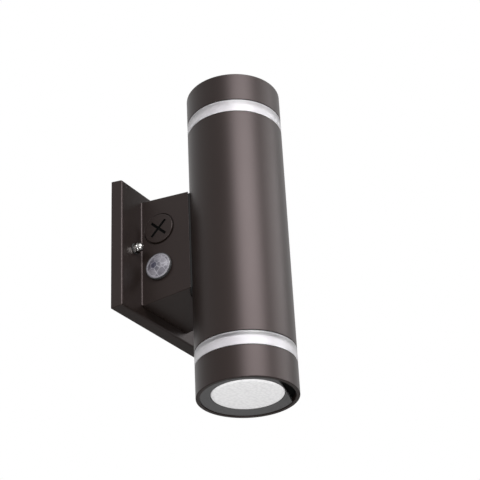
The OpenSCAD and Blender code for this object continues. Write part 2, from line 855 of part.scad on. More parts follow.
module main_tube() {
    color([0.24, 0.21, 0.20])
        at_axis()
            difference() {
                union() {
                    ring(tube_r, tube_in_r, -seat_z, seat_z);
                    intersection() {
                        on_circle(port_circle_r, port_angles)
                            translate([0, 0, -sink_z]) cylinder(r = port_r, h = 2 * sink_z);
                        translate([0, 0, -seat_z]) cylinder(r = tube_r - tube_wall / 2, h = 2 * seat_z);
                    }
                }
                on_circle(port_circle_r, port_angles)
                    translate([0, 0, -sink_z - cut]) cylinder(r = tap_r(m4), h = 2 * (sink_z + cut));
                rotate([-90, 0, 0]) cylinder(r = lead_hole_r, h = tube_r + cut);
                for (up = [-1, 1])
                    translate([0, 0, up * tube_screw_pitch / 2])
                        rotate([-90, 0, 0]) cylinder(r = pass_r(m5), h = tube_r + cut);
            }
}

// Driver, on a bracket whose foot stands on the bottom heat sink

ear_h = 9;
ear_w = 24;
ear_t = 3;
bracket_edge = 2;
bracket_w = driver_w - 2 * bracket_edge;
foot_front = -0.75 * rib_pitch;
bracket_top = driver_l / 2 + ear_h + bracket_edge;
foot_boss_r = 4;
foot_screw_x = 12;
foot_screw_y = rib_pitch / 2;

module driver_case() {
    color([0.80, 0.80, 0.79])
        at_axis()
            difference() {
                union() {
                    translate([-driver_w / 2, bracket_y - driver_d, -driver_l / 2])
                        cube([driver_w, driver_d, driver_l]);
                    translate([-ear_w / 2, bracket_y - ear_t, -driver_l / 2 - ear_h])
                        cube([ear_w, ear_t, driver_l + 2 * ear_h]);
                }
                for (up = [-1, 1])
                    translate([0, bracket_y - ear_t - cut, up * (driver_l + ear_h) / 2])
                        rotate([-90, 0, 0]) cylinder(r = pass_r(m4), h = ear_t + 2 * cut);
            }
}

module driver_bracket() {
    color([0.74, 0.74, 0.73])
        at_axis()
            difference() {
                union() {
                    translate([-bracket_w / 2, bracket_y, -sink_z])
                        cube([bracket_w, bracket_t, sink_z + bracket_top]);
                    translate([-bracket_w / 2, foot_front, -sink_z])
                        cube([bracket_w, bracket_y - foot_front + bracket_t, bracket_t]);
                }
                for (up = [-1, 1])
                    translate([0, bracket_y - cut, up * (driver_l + ear_h) / 2])
                        rotate([-90, 0, 0]) cylinder(r = tap_r(m4), h = bracket_t + 2 * cut);
                for (side = [-1, 1])
                    translate([side * foot_screw_x, foot_screw_y, -sink_z - cut])
                        cylinder(r = pass_r(m4), h = bracket_t + 2 * cut);
            }
}

module bracket_screws() {
    color([0.70, 0.70, 0.70])
        at_axis()
            for (side = [-1, 1])
                translate([side * foot_screw_x, foot_screw_y, bracket_t - sink_z])
                    screw(m4, bracket_t + sink_h - sink_base_t);
}

module driver_screws() {
    color([0.70, 0.70, 0.70])
        at_axis()
            for (up = [-1, 1])
                translate([0, bracket_y - ear_t, up * (driver_l + ear_h) / 2])
                    rotate([90, 0, 0])
                        screw(m4, ear_t + bracket_t + blind_floor);
}

// Ends: heat sink, lamp board, reflector, glowing sleeve, clear ring, end ring, lens, trim

module heat_sink(top) {
    rib_inset = 1.5;
    pillar_wall = 1.2;
    disc_r = tube_in_r - slip_gap;
    rib_r = disc_r - rib_inset;
    ribs = floor((rib_r - rib_t) / rib_pitch);
    color([0.78, 0.78, 0.77])
        at_end(top)
            difference() {
                union() {
                    translate([0, 0, seat_z - sink_base_t]) cylinder(r = disc_r, h = sink_base_t);
                    intersection() {
                        for (i = [-ribs : ribs])
                            translate([-tube_r, i * rib_pitch - rib_t / 2, sink_z])
                                cube([tube_d, rib_t, sink_h - sink_base_t + cut]);
                        translate([0, 0, sink_z]) cylinder(r = rib_r, h = sink_h);
                    }
                    on_circle(port_circle_r, port_angles)
                        translate([0, 0, sink_z])
                            cylinder(r = pass_r(m4) + pillar_wall, h = sink_h - sink_base_t + cut);
                    for (side = [-1, 1])
                        translate([side * foot_screw_x, foot_screw_y, sink_z])
                            cylinder(r = foot_boss_r, h = sink_h - sink_base_t + cut);
                }
                on_circle(port_circle_r, port_angles) {
                    translate([0, 0, sink_z - cut]) cylinder(r = pass_r(m4), h = sink_h + 2 * cut);
                    translate([0, 0, screw_seat_z])
                        cylinder(r = head_r(m4) + slip_gap / 2, h = sink_h);
                }
                on_circle(end_screw_r, end_screw_angles)
                    translate([0, 0, seat_z - sink_base_t + blind_floor])
                        cylinder(r = tap_r(m3), h = sink_base_t);
                for (side = [-1, 1])
                    translate([side * foot_screw_x, foot_screw_y, sink_z - cut])
                        cylinder(r = tap_r(m4), h = sink_h - sink_base_t + cut + blind_floor);
                translate([0, lead_y, sink_z - cut]) cylinder(r = sink_lead_r, h = sink_h + 2 * cut);
            }
}

module heat_sink_screws() {
    port_grip = 7;
    color([0.70, 0.70, 0.70])
        for (top = [true, false])
            at_end(top)
                on_circle(port_circle_r, port_angles)
                    translate([0, 0, screw_seat_z])
                        screw(m4, screw_seat_z - sink_z + port_grip);
}

module led_board(top) {
    color([0.93, 0.93, 0.92])
        at_end(top)
            translate([0, 0, seat_z])
                difference() {
                    cylinder(r = led_board_r, h = board_t);
                    translate([0, lead_y, -cut]) cylinder(r = sink_lead_r, h = board_t + 2 * cut);
                }
}

// An outer circle of eight chips and an inner one of four, clear of the lead hole
led_circles = [
    [led_outer_r, [for (i = [0 : 7]) 22.5 + 45 * i]],
    [led_inner_r, [for (i = [0 : 3]) 45 + 90 * i]]
];

module leds() {
    color([0.95, 0.85, 0.45])
        for (top = [true, false])
            at_end(top)
                for (circle_of = led_circles)
                    on_circle(circle_of[0], circle_of[1])
                        translate([-led_size / 2, -led_size / 2, board_top_z])
                            cube([led_size, led_size, led_t]);
}

module reflector(top) {
    z0 = board_top_z + thread_gap;
    z1 = ledge_z - thread_gap;
    flange_r = end_bore_r - slip_gap;
    color([0.95, 0.95, 0.95])
        at_end(top)
            rotate_extrude()
                polygon([
                    [reflector_in_r, z0], [reflector_in_r + reflector_t, z0],
                    [reflector_out_r + reflector_t, z1 - reflector_t], [flange_r, z1 - reflector_t],
                    [flange_r, z1], [reflector_out_r, z1]
                ]);
}

module glow_sleeve(top) {
    color([0.96, 0.96, 0.95])
        at_end(top) ring(sleeve_r, sleeve_r - sleeve_t, seat_z, end_z);
}

module accent_ring(top) {
    color([0.90, 0.93, 0.94, 0.5])
        at_end(top) ring(tube_r, tube_r - accent_t, seat_z + ring_gasket_t, end_z - ring_gasket_t);
}

module ring_gaskets(top) {
    inset = 0.4;
    color([0.05, 0.05, 0.05])
        at_end(top)
            for (z = [seat_z, end_z - ring_gasket_t])
                ring(tube_r - inset, tube_r - accent_t, z, z + ring_gasket_t);
}

module end_ring(top) {
    color([0.23, 0.20, 0.19])
        at_end(top)
            difference() {
                rotate_extrude()
                    polygon([
                        [shelf_open_r, end_z], [tube_r, end_z], [tube_r, tip_z - lip_bevel],
                        [tube_r - lip_bevel, tip_z], [lip_r, tip_z], [lip_r, ledge_z],
                        [end_bore_r, ledge_z], [end_bore_r, shelf_z], [shelf_open_r, shelf_z]
                    ]);
                on_circle(end_screw_r, end_screw_angles)
                    translate([0, 0, end_z - cut]) cylinder(r = pass_r(m3), h = shelf_t + 2 * cut);
            }
}

module end_screws() {
    color([0.70, 0.70, 0.70])
        for (top = [true, false])
            at_end(top)
                on_circle(end_screw_r, end_screw_angles)
                    translate([0, 0, shelf_z])
                        screw(m3, shelf_t + accent_h + sink_base_t - 2 * blind_floor);
}

module lens_gasket(top) {
    color([0.06, 0.06, 0.06])
        at_end(top) ring(lip_r - slip_gap, end_bore_r, ledge_z, lens_z);
}

module lens(top) {
    color([0.90, 0.91, 0.92])
        at_end(top) {
            translate([0, 0, lens_z]) cylinder(r = lip_r - slip_gap, h = lens_flange_t);
            translate([0, 0, flange_z]) cylinder(r = lens_r, h = lens_boss_t);
        }
}

module trim_ring(top) {
    hole_r = lens_r + slip_gap;
    edge_r = lip_r - slip_gap / 2;
    color([0.27, 0.27, 0.28])
        at_end(top)
            rotate_extrude()
                polygon([
                    [hole_r, flange_z], [edge_r, flange_z],
                    [edge_r, tip_z - trim_outer_recess], [hole_r, tip_z - trim_inner_recess]
                ]);
}

// Leads. Each one that feeds the driver crosses the grommet at its own place [x, z], rises
// behind the bracket at its own x and comes down into the driver's top.

grommet_in = axis_out - saddle_in_r - 6;
tube_mouth = axis_out - tube_in_r + 2;
riser_out = axis_out - bracket_y - bracket_t - 9;
over_z = bracket_top + 6;
riser_step = 2.8;
lead_room = 5;

function driver_run(place, riser_x) = [
    [place[0], -grommet_in, place[1]],
    [place[0], -tube_mouth, place[1]],
    [riser_x, -riser_out, place[1]],
    [riser_x, -riser_out, over_z],
    [riser_x, -axis_out, over_z],
    [riser_x, -axis_out, driver_l / 2 + slip_gap]
];

// Place in the grommet and riser position of each lead, spread so that none touch
supply_places = [
    [[-1.4, 2.7], -riser_step], [[0.3, 0.2], 0], [[1.4, 2.7], riser_step]
];
photocell_places = [
    [[-2, -2.4], -3 * riser_step], [[0.2, -3], 2 * riser_step], [[2.4, -1.9], 3 * riser_step]
];
selector_place = [[-2.9, 0.2], -2 * riser_step];

module supply_leads() {
    spread = 3.6;
    corner = strap_w / 2 + lead_room;
    behind_strap = strap_t + 2 * supply_r;
    hole_z = plate_hole_r * 0.4;
    color([0.10, 0.10, 0.10])
        for (i = [0 : 2]) {
            start_x = corner + spread * (i - 1);
            hole_x = plate_hole_r * 0.25 + spread * (i - 1);
            lead(concat([
                [start_x, -behind_strap, corner + spread],
                [start_x, -behind_strap, corner],
                [hole_x, supply_r + 1 + plate_front_t - plate_d, hole_z],
                [hole_x, -plate_d - 3, hole_z]
            ], driver_run(supply_places[i][0], supply_places[i][1])), supply_r);
        }
}

module photocell_leads() {
    fan = [[1.5, -0.9], [-1.5, -0.9], [0, 1.7]];
    start_deep = photocell_barrel_l - lead_exit_deep + slip_gap;
    color([0.35, 0.08, 0.08])
        for (i = [0 : 2])
            lead(concat([
                arm_side_point(-photocell_drop, fan[i][0], fan[i][1], start_deep),
                arm_side_point(-photocell_drop, fan[i][0], fan[i][1], photocell_barrel_l + 2 + 2 * i)
            ], driver_run(photocell_places[i][0], photocell_places[i][1])), lead_r);
}

module selector_leads() {
    color([0.20, 0.20, 0.45])
        lead(concat([
            arm_side_point(plug_rise, -board_l / 4, 0, board_deep + board_t + slip_gap),
            arm_side_point(plug_rise, -board_l / 4, 0, board_deep + board_t + 4)
        ], driver_run(selector_place[0], selector_place[1])), lead_r);
}

// Two leads from the driver's lower end to each lamp board
module led_leads() {
    start_y = bracket_y - driver_d + lead_bend;
    side_x = driver_w / 2 + lead_room;
    turn_z = driver_l / 2 + ear_h + lead_bend;
    up_x = -6;
    pair = lead_r + 0.1;
    color([0.60, 0.60, 0.58])
        at_axis()
            for (i = [-1, 1]) {
                lead([
                    [i * pair, start_y, -driver_l / 2 - slip_gap],
                    [i * pair, start_y, -turn_z],
                    [i * pair, lead_y, -turn_z - 6],
                    [i * pair, lead_y, -board_top_z - lead_r]
                ], lead_r);
                lead([
                    [up_x, start_y + i * pair, -driver_l / 2 - slip_gap],
                    [up_x, start_y + i * pair, -driver_l / 2 - lead_room + i * pair],
                    [-side_x - i * pair, start_y + i * pair, -driver_l / 2 - lead_room + i * pair],
                    [-side_x - i * pair, start_y + i * pair, turn_z + 3 + i * pair],
                    [-i * pair, lead_y, turn_z + 7 + i * pair],
                    [-i * pair, lead_y, board_top_z + lead_r]
                ], lead_r);
            }
}

back_plate();
wall_gasket();
crossbar();
ground_screw();
mounting_studs();
seal_washers();
cap_nuts();
arm_housing();
arm_gasket();
arm_screws();
saddle_gasket();
tube_screws();
wire_grommet();
photocell_body();
photocell_lens();
photocell_sensor();
photocell_gasket();
photocell_nut();
switch_plug();
plug_o_ring();
selector_board();
selector_switch();
selector_knob();
board_screws();
main_tube();
driver_case();
driver_bracket();
bracket_screws();
driver_screws();
heat_sink(true);  // heat_sink_top
heat_sink(false);  // heat_sink_bottom
heat_sink_screws();
led_board(true);  // led_board_top
led_board(false);  // led_board_bottom
leds();
reflector(true);  // reflector_top
reflector(false);  // reflector_bottom
glow_sleeve(true);  // glow_sleeve_top
glow_sleeve(false);  // glow_sleeve_bottom
accent_ring(true);  // accent_ring_top
accent_ring(false);  // accent_ring_bottom
ring_gaskets(true);  // ring_gaskets_top
ring_gaskets(false);  // ring_gaskets_bottom
end_ring(true);  // end_ring_top
end_ring(false);  // end_ring_bottom
end_screws();
lens_gasket(true);  // lens_gasket_top
lens_gasket(false);  // lens_gasket_bottom
lens(true);  // lens_top
lens(false);  // lens_bottom
trim_ring(true);  // trim_ring_top
trim_ring(false);  // trim_ring_bottom
supply_leads();
photocell_leads();
selector_leads();
led_leads();
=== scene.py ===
# Outdoor up-down wall light in Blender, piece by piece in the order it is put together.
# Metres, +Z up, +Y into the wall; the origin is the middle of the canopy plate on the wall.
import math
import bmesh
import bpy
from mathutils import Matrix, Vector


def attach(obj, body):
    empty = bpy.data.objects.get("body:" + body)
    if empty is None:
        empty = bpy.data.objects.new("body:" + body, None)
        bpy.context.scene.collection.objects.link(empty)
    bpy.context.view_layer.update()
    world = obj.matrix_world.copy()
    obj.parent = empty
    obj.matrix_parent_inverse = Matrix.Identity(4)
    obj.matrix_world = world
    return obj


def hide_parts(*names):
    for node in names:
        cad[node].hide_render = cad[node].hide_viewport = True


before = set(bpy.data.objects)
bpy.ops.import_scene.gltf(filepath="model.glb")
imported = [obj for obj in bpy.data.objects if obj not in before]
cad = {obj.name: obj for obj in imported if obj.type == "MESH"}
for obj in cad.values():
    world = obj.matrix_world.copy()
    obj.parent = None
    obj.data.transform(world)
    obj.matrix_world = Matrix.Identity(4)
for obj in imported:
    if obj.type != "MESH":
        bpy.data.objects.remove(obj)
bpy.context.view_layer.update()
scene = bpy.context.scene
MM = 0.001

# The photograph's view
# The camera stands close to the wall, to the left and below, and looks up at the light.
# Its place, turn and lens were fitted to the light's outline, so it needs no shift.
camera_place = Vector((-0.79172, -0.57383, -0.54283))
azimuth, elevation, roll = (math.radians(d) for d in (-58.38, -30.29, -2.948))
focal_length_px = 1321.7
frame_px = 480
sensor_mm = 36

towards_camera = Vector((
    math.sin(azimuth) * math.cos(elevation),
    -math.cos(azimuth) * math.cos(elevation),
    math.sin(elevation),
))
level = Vector((math.cos(azimuth), math.sin(azimuth), 0))
rising = towards_camera.cross(level)
camera_right = math.cos(roll) * level + math.sin(roll) * rising
camera_up = math.cos(roll) * rising - math.sin(roll) * level


def added(name, data):
    """A new object in the scene, at the origin."""
    thing = bpy.data.objects.new(name, data)
    scene.collection.objects.link(thing)
    return thing


camera = added("camera", bpy.data.cameras.new("camera"))
camera.data.sensor_width = sensor_mm
camera.data.lens = focal_length_px / frame_px * sensor_mm
camera.data.clip_end = 50
turn = Matrix((camera_right, camera_up, towards_camera)).transposed()
camera.matrix_world = Matrix.Translation(camera_place) @ turn.to_4x4()
scene.camera = camera
scene.view_settings.view_transform = "Standard"


# Studio
# A white room, a pale floor below the camera, and softboxes: one ahead and to the left, with
# a second in its place that shows only in gloss and draws the bright band down the tube, a
# broad one to the right, and a small one beside the camera that picks out the edges.
class Wire:
    """A value that runs through a node tree; sums with it add Math nodes."""

    def __init__(self, graph, socket):
        self.graph, self.socket = graph, socket

    def maths(self, operation, first, second):
        """One Math node on two values."""
        return self.graph.add("ShaderNodeMath", {0: first, 1: second}, operation=operation)

    def __add__(self, other):
        return self.maths("ADD", self, other)

    def __sub__(self, other):
        return self.maths("SUBTRACT", self, other)

    def __rsub__(self, other):
        return self.maths("SUBTRACT", other, self)

    def __mul__(self, other):
        return self.maths("MULTIPLY", self, other)

    def __lt__(self, other):
        return self.maths("LESS_THAN", self, other)

    def __gt__(self, other):
        return self.maths("GREATER_THAN", self, other)

    __radd__ = __add__
    __rmul__ = __mul__


class Graph:
    """A node tree that starts empty and is written with add()."""

    def __init__(self, tree, owner=None):
        self.tree, self.owner = tree, owner
        tree.nodes.clear()

    def add(self, kind, values=None, out=0, **settings):
        """Makes a node: its settings first, then the values or links of its inputs."""
        node = self.tree.nodes.new(kind)
        for name, setting in settings.items():
            setattr(node, name, setting)
        for name, value in (values or {}).items():
            socket = node.inputs[name] if isinstance(name, int) else next(
                s for s in node.inputs if s.name == name and s.enabled)
            wires = value if isinstance(value, list) else [value]
            if isinstance(wires[0], Wire):
                for wire in wires:
                    self.tree.links.new(wire.socket, socket)
            elif socket.type == "RGBA":
                socket.default_value = (*value, 1)
            else:
                socket.default_value = value
        found = node.outputs[out] if isinstance(out, int) and node.outputs else next(
            (s for s in node.outputs if s.name == out and s.enabled), None)
        return Wire(self, found) if found else node


room_light = 0.41
world = bpy.data.worlds.new("white_room")
world.use_nodes = True
scene.world = world
room = Graph(world.node_tree)
seen = (room.add("ShaderNodeLightPath", out="Is Camera Ray")
        + room.add("ShaderNodeLightPath", out="Is Glossy Ray")
        + room.add("ShaderNodeLightPath", out="Is Transmission Ray"))
seen = room.add("ShaderNodeClamp", {"Value": seen})
room.add("ShaderNodeOutputWorld", {"Surface": room.add("ShaderNodeBackground", {
    "Color": (1, 1, 1), "Strength": room_light + seen * (1 - room_light)})})


def softbox(name, bearing, height, distance, width, tall, power, sheen_only=False):
    """A lamp with a soft rectangular face, turned to the middle of the light. With
    sheen_only it shows in gloss and doesn't light matt surfaces."""
    lamp = bpy.data.lights.new(name, "AREA")
    lamp.shape, lamp.size, lamp.size_y = "RECTANGLE", width, tall
    lamp.energy = power
    bearing, height = math.radians(bearing), math.radians(height)
    out = Vector((math.cos(bearing) * math.cos(height),
                  math.sin(bearing) * math.cos(height), math.sin(height)))
    holder = added(name, lamp)
    aim = out.to_track_quat("Z", "Y").to_matrix().to_4x4()
    holder.matrix_world = Matrix.Translation(light_middle + out * distance) @ aim
    holder.visible_diffuse = not sheen_only


light_middle = Vector((0, -0.0863, 0))
softbox("softbox_left", bearing=-128, height=30, distance=2.0, width=1.6, tall=0.5, power=26)
softbox("sheen_left", bearing=-128, height=30, distance=2.0, width=1.6, tall=0.5, power=58,
        sheen_only=True)
softbox("softbox_right", bearing=-62, height=26, distance=2.4, width=1.6, tall=1.0, power=27)
softbox("softbox_front", bearing=-148, height=-36, distance=0.9, width=0.3, tall=0.3, power=6.3)

floor_z = -0.75
floor_half = 4.0
floor_mesh = bpy.data.meshes.new("floor")
floor_mesh.from_pydata(
    [(x * floor_half, y * floor_half, floor_z) for x, y in ((-1, -1), (1, -1), (1, 1), (-1, 1))],
    [], [(0, 1, 2, 3)])
floor = added("floor", floor_mesh)


def finish(name):
    """A new material, as a graph to write its nodes in."""
    material = bpy.data.materials.new(name)
    material.use_nodes = True
    return Graph(material.node_tree, material)


def own_place(graph):
    """Where a point lies on its own piece."""
    return graph.add("ShaderNodeTexCoord", out="Object")


def grain(graph, size_mm, detail=2.0, stretch=(1, 1, 1)):
    """Cloudy noise whose patches are about size_mm across, fixed to the piece."""
    spot = graph.add("ShaderNodeVectorMath", {0: own_place(graph), 1: stretch},
                     operation="MULTIPLY")
    return graph.add("ShaderNodeTexNoise", {
        "Vector": spot, "Scale": 1 / (size_mm * MM), "Detail": detail})


def tint(graph, share, low, high):
    """A colour between low and high."""
    return graph.add("ShaderNodeMix", {"Factor": share, "A": low, "B": high},
                     out="Result", data_type="RGBA")


def relief(graph, height, depth_mm, strength):
    """The normal of a surface that stands depth_mm proud where height is 1."""
    return graph.add("ShaderNodeBump", {
        "Height": height, "Distance": depth_mm * MM, "Strength": strength})


def skin(graph, values):
    """Ends a finish in the shader and gives its material."""
    shader = graph.add("ShaderNodeBsdfPrincipled", values)
    graph.add("ShaderNodeOutputMaterial", {"Surface": shader})
    return graph.owner


paper = finish("floor_paper")
fibre = grain(paper, 40, 3)
floor_mesh.materials.append(skin(paper, {
    "Base Color": tint(paper, fibre, (0.60, 0.60, 0.595), (0.64, 0.64, 0.635)),
    "Roughness": 0.9, "Specular IOR Level": 0.0}))


# Canopy plate
# A square die-cast plate that covers the wall box, with leaning sides and soft edges.
# Powder coated in dark bronze: a satin skin with a fine orange peel.
coat = finish("bronze_powder_coat")
peel = grain(coat, 0.9, 3)
cloud = grain(coat, 30, 2)
bronze_powder_coat = skin(coat, {
    "Base Color": tint(coat, peel * 0.35 + cloud * 0.65,
                       (0.0074, 0.0049, 0.0040), (0.0104, 0.0071, 0.0057)),
    "Roughness": 0.36 + cloud * 0.05 + peel * 0.04,
    "Specular IOR Level": 0.27, "Specular Tint": (1.0, 0.83, 0.84),
    "Normal": relief(coat, peel, 0.02, 0.5),
})


def smoothed(piece, sharp_over=35):
    """Smooth shading up to sharp_over degrees, with the flat faces kept flat."""
    mesh = piece.data
    mesh.polygons.foreach_set("use_smooth", [True] * len(mesh.polygons))
    mesh.set_sharp_from_angle(angle=math.radians(sharp_over))
    normals = piece.modifiers.new("flat_faces", "WEIGHTED_NORMAL")
    normals.keep_sharp = True
    return plain(piece)


def plain(piece):
    """Turns a piece with modifiers into a plain mesh."""
    bpy.context.view_layer.update()
    ready = piece.evaluated_get(bpy.context.evaluated_depsgraph_get())
    mesh = bpy.data.meshes.new_from_object(ready)
    mesh.name = piece.name
    piece.modifiers.clear()
    piece.data = mesh
    return piece


# what counts as one point, as one flat face and as an edge
weld_mm = 0.002
flat_below, edge_above = math.radians(0.4), math.radians(25)


def eased_copy(name, node, material, ease_mm, own_width=None, widest=0.0, steps=3):
    """A copy of a CAD node with its edges rounded by ease_mm, or by what own_width(edge)
    says, which is at most widest."""
    mesh = cad[node].data.copy()
    mesh.materials.clear()
    mesh.materials.append(material)
    shell = bmesh.new()
    shell.from_mesh(mesh)
    bmesh.ops.remove_doubles(shell, verts=shell.verts, dist=weld_mm * MM)
    bmesh.ops.dissolve_limit(shell, angle_limit=flat_below, verts=shell.verts,
                             edges=shell.edges)
    weight = shell.edges.layers.float.new("bevel_weight_edge")
    widest = max(ease_mm, widest)
    for edge in shell.edges:
        if edge.is_manifold and edge.calc_face_angle() > edge_above:
            edge[weight] = (own_width and own_width(edge) or ease_mm) / widest
    shell.to_mesh(mesh)
    shell.free()
    piece = added(name, mesh)
    bevel = piece.modifiers.new("eased_edges", "BEVEL")
    bevel.limit_method, bevel.width, bevel.segments = "WEIGHT", widest * MM, steps
    bevel.use_clamp_overlap = False
    return smoothed(plain(piece))


plate_side, plate_front = 57.2 * MM, -9 * MM
coat_ease, plate_corner_ease, plate_rim_ease = 0.25, 0.7, 0.5


def plate_rim(edge):
    """More rounding at the plate's four corners and along its front rim."""
    if all(min(abs(v.co.x), abs(v.co.z)) > plate_side for v in edge.verts):
        return plate_corner_ease
    if all(max(abs(v.co.x), abs(v.co.z)) > plate_side and v.co.y < plate_front
           for v in edge.verts):
        return plate_rim_ease
    return None


canopy_plate = eased_copy("canopy_plate", "back_plate", bronze_powder_coat, coat_ease,
                          plate_rim, plate_corner_ease)
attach(canopy_plate, "fixture")
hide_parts("back_plate")


# Foam strip
# A strip of closed-cell foam in the plate's rebate, which seals the plate to the wall.
# Die cut in one frame, so its edges are square and its face shows small cells.
def moulded(name, low, high, rough, grain_mm, depth_mm, gloss=0.5):
    """Plastic, rubber or foam: two close shades, a fine skin and a soft sheen."""
    stuff = finish(name)
    fine = grain(stuff, grain_mm, 3)
    wide = grain(stuff, 12, 2)
    return skin(stuff, {
        "Base Color": tint(stuff, fine * 0.5 + wide * 0.5, low, high),
        "Roughness": rough + wide * 0.08,
        "Specular IOR Level": gloss,
        "Normal": relief(stuff, fine, depth_mm, 0.6),
    })


grey_foam = moulded("grey_foam", (0.030, 0.030, 0.032), (0.055, 0.055, 0.056),
                    rough=0.88, grain_mm=0.7, depth_mm=0.25, gloss=0.15)
foam_strip = eased_copy("foam_strip", "wall_gasket", grey_foam, ease_mm=0.2)
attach(foam_strip, "fixture")
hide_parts("wall_gasket")


# Mounting strap
# A cross of zinc plated sheet steel that is screwed to the wall box through its two slots.
# Punched, so its edges are slightly rounded; the green screw takes the ground wire.
def metal(name, low, high, rough, streak=(1, 1, 1), patch_mm=3.0, depth_mm=0.01):
    """Bare or plated metal, with streaks along the way it was drawn or brushed."""
    stuff = finish(name)
    drawn = grain(stuff, patch_mm, 4, streak)
    wide = grain(stuff, 15, 2)
    return skin(stuff, {
        "Base Color": tint(stuff, drawn * 0.5 + wide * 0.5, low, high),
        "Metallic": 1.0,
        "Roughness": rough + drawn * 0.12,
        "Normal": relief(stuff, drawn, depth_mm, 0.4),
    })


zinc_plate = metal("zinc_plate", (0.52, 0.53, 0.54), (0.70, 0.70, 0.68),
                   rough=0.24, streak=(0.15, 1, 1))
strap = eased_copy("mounting_strap", "crossbar", zinc_plate, ease_mm=0.3)
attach(strap, "fixture")
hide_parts("crossbar")

green_paint = moulded("green_screw_coat", (0.012, 0.12, 0.035), (0.022, 0.19, 0.06),
                      rough=0.38, grain_mm=1.5, depth_mm=0.02)
ground_screw = eased_copy("ground_screw_head", "ground_screw", green_paint, ease_mm=0.2)
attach(ground_screw, "fixture")
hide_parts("ground_screw")


# Studs, washers and cap nuts
# Two threaded studs stand on the strap and pass through the plate. A bright acorn nut on
# each one, over a rubber washer, holds the plate to the wall.
def eased(corners, steps=4):
    """A closed outline from [x, y, radius] corners, each rounded by its radius."""
    points = []
    for i, (x, y, radius) in enumerate(corners):
        here = Vector((x, y))
        if not radius:
            points.append(here)
            continue
        back = (Vector(corners[i - 1][:2]) - here).normalized()
        ahead = (Vector(corners[(i + 1) % len(corners)][:2]) - here).normalized()
        half = back.angle(ahead) / 2
        middle = here + (back + ahead).normalized() * radius / math.sin(half)
        first, last = (here + side * radius / math.tan(half) - middle for side in (back, ahead))
        for k in range(steps + 1):
            points.append(middle + first.lerp(last, k / steps).normalized() * radius)
    return points


to_metres = Matrix.Scale(MM, 4)


def made(name, shell, place=to_metres, material=None):
    """A new object from a bmesh that was drawn in mm; its place turns it into metres too."""
    shell.transform(place)
    mesh = bpy.data.meshes.new(name)
    shell.to_mesh(mesh)
    shell.free()
    if material:
        mesh.materials.append(material)
    return added(name, mesh)


def turned(name, outline, material, places=(Matrix(),), steps=96):
    """A lathe-turned solid: the outline [radius, height], in mm, spun round Z at each place."""
    shape = bmesh.new()
    for place in places:
        rings = []
        for radius, height in outline:
            if radius < 1e-6:
                rings.append([shape.verts.new(place @ Vector((0, 0, height)))] * steps)
                continue
            rings.append([
                shape.verts.new(place @ Vector(
                    (radius * math.cos(a), radius * math.sin(a), height)))
                for a in (2 * math.pi * k / steps for k in range(steps))])
        for low, high in zip(rings, rings[1:] + rings[:1]):
            for k in range(steps):
                corners = []
                for vert in (low[k], low[k - 1], high[k - 1], high[k]):
                    if vert not in corners:
                        corners.append(vert)
                if len(corners) > 2:
                    shape.faces.new(corners)
    bmesh.ops.recalc_face_normals(shape, faces=shape.faces)
    return smoothed(made(name, shape, material=material))


def off_the_wall(x, z, out):
    """Local Z runs from the wall to the room, and local Y runs up."""
    return Matrix(((1, 0, 0, x), (0, 0, -1, -out), (0, 1, 0, z), (0, 0, 0, 1)))


stud_x = 40.5
stud_r = 2.1
stud_l = 16.15
thread_pitch = 0.8
thread_deep = 0.25
turns = int(stud_l / thread_pitch)
root_r = stud_r - thread_deep
end_gap = 0.05
stud_outline = [(0, stud_l - end_gap), (root_r, stud_l - end_gap)]
for k in range(turns - 1, 0, -1):
    stud_outline += [(stud_r, (k + 0.5) * thread_pitch), (root_r, k * thread_pitch)]
stud_outline += [(root_r, end_gap), (0, end_gap)]
studs = turned("threaded_studs", stud_outline, zinc_plate,
               [off_the_wall(x, 0, 0) for x in (-stud_x, stud_x)], steps=32)
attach(studs, "fixture")
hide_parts("mounting_studs")

plate_face = 10.4
washer_r, washer_t = 4.8, 0.8
bore_r = 2.15
black_rubber = moulded("black_rubber", (0.010, 0.010, 0.010), (0.022, 0.022, 0.022),
                       rough=0.62, grain_mm=0.8, depth_mm=0.03, gloss=0.3)
washers = turned("rubber_washers", eased([
    (bore_r, 0, 0), (washer_r, 0, 0), (washer_r, washer_t, 0.3), (bore_r, washer_t, 0)]),
    black_rubber, [off_the_wall(x, 0, plate_face) for x in (-stud_x, stud_x)], steps=48)
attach(washers, "fixture")
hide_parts("seal_washers")


def machined(name, low, high, grain_mm, rough, unevenness, values):
    """A turned surface, whose shade, roughness and relief follow one fine grain."""
    stuff = finish(name)
    fine = grain(stuff, grain_mm, 3)
    return skin(stuff, {
        "Base Color": tint(stuff, fine, low, high), "Roughness": rough + fine * unevenness,
        "Normal": relief(stuff, fine, 0.01, 0.3), **values})


bright_nickel = machined("bright_nickel", (0.33, 0.322, 0.31), (0.44, 0.436, 0.424),
                         grain_mm=1.2, rough=0.10, unevenness=0.04, values={"Metallic": 1.0})


def shape_tree(name, **wanted):
    """A Geometry Nodes tree with named inputs of each kind, and its inputs as wires."""
    tree = bpy.data.node_groups.new(name, "GeometryNodeTree")
    graph = Graph(tree)
    for kind, labels in wanted.items():
        for label in labels:
            tree.interface.new_socket(
                name=label, in_out="INPUT", socket_type="NodeSocket" + kind)
    tree.interface.new_socket(
        name="Geometry", in_out="OUTPUT", socket_type="NodeSocketGeometry")
    given = tree.nodes.new("NodeGroupInput")
    return graph, {socket.name: Wire(graph, socket) for socket in given.outputs}


def ends_in(graph, shape, material):
    """The two nodes that every tree ends in, so that the result is one plain mesh."""
    real = graph.add("GeometryNodeRealizeInstances", {"Geometry": shape})
    real = graph.add("GeometryNodeSetMaterial", {"Geometry": real, "Material": material})
    graph.add("NodeGroupOutput", {"Geometry": real})


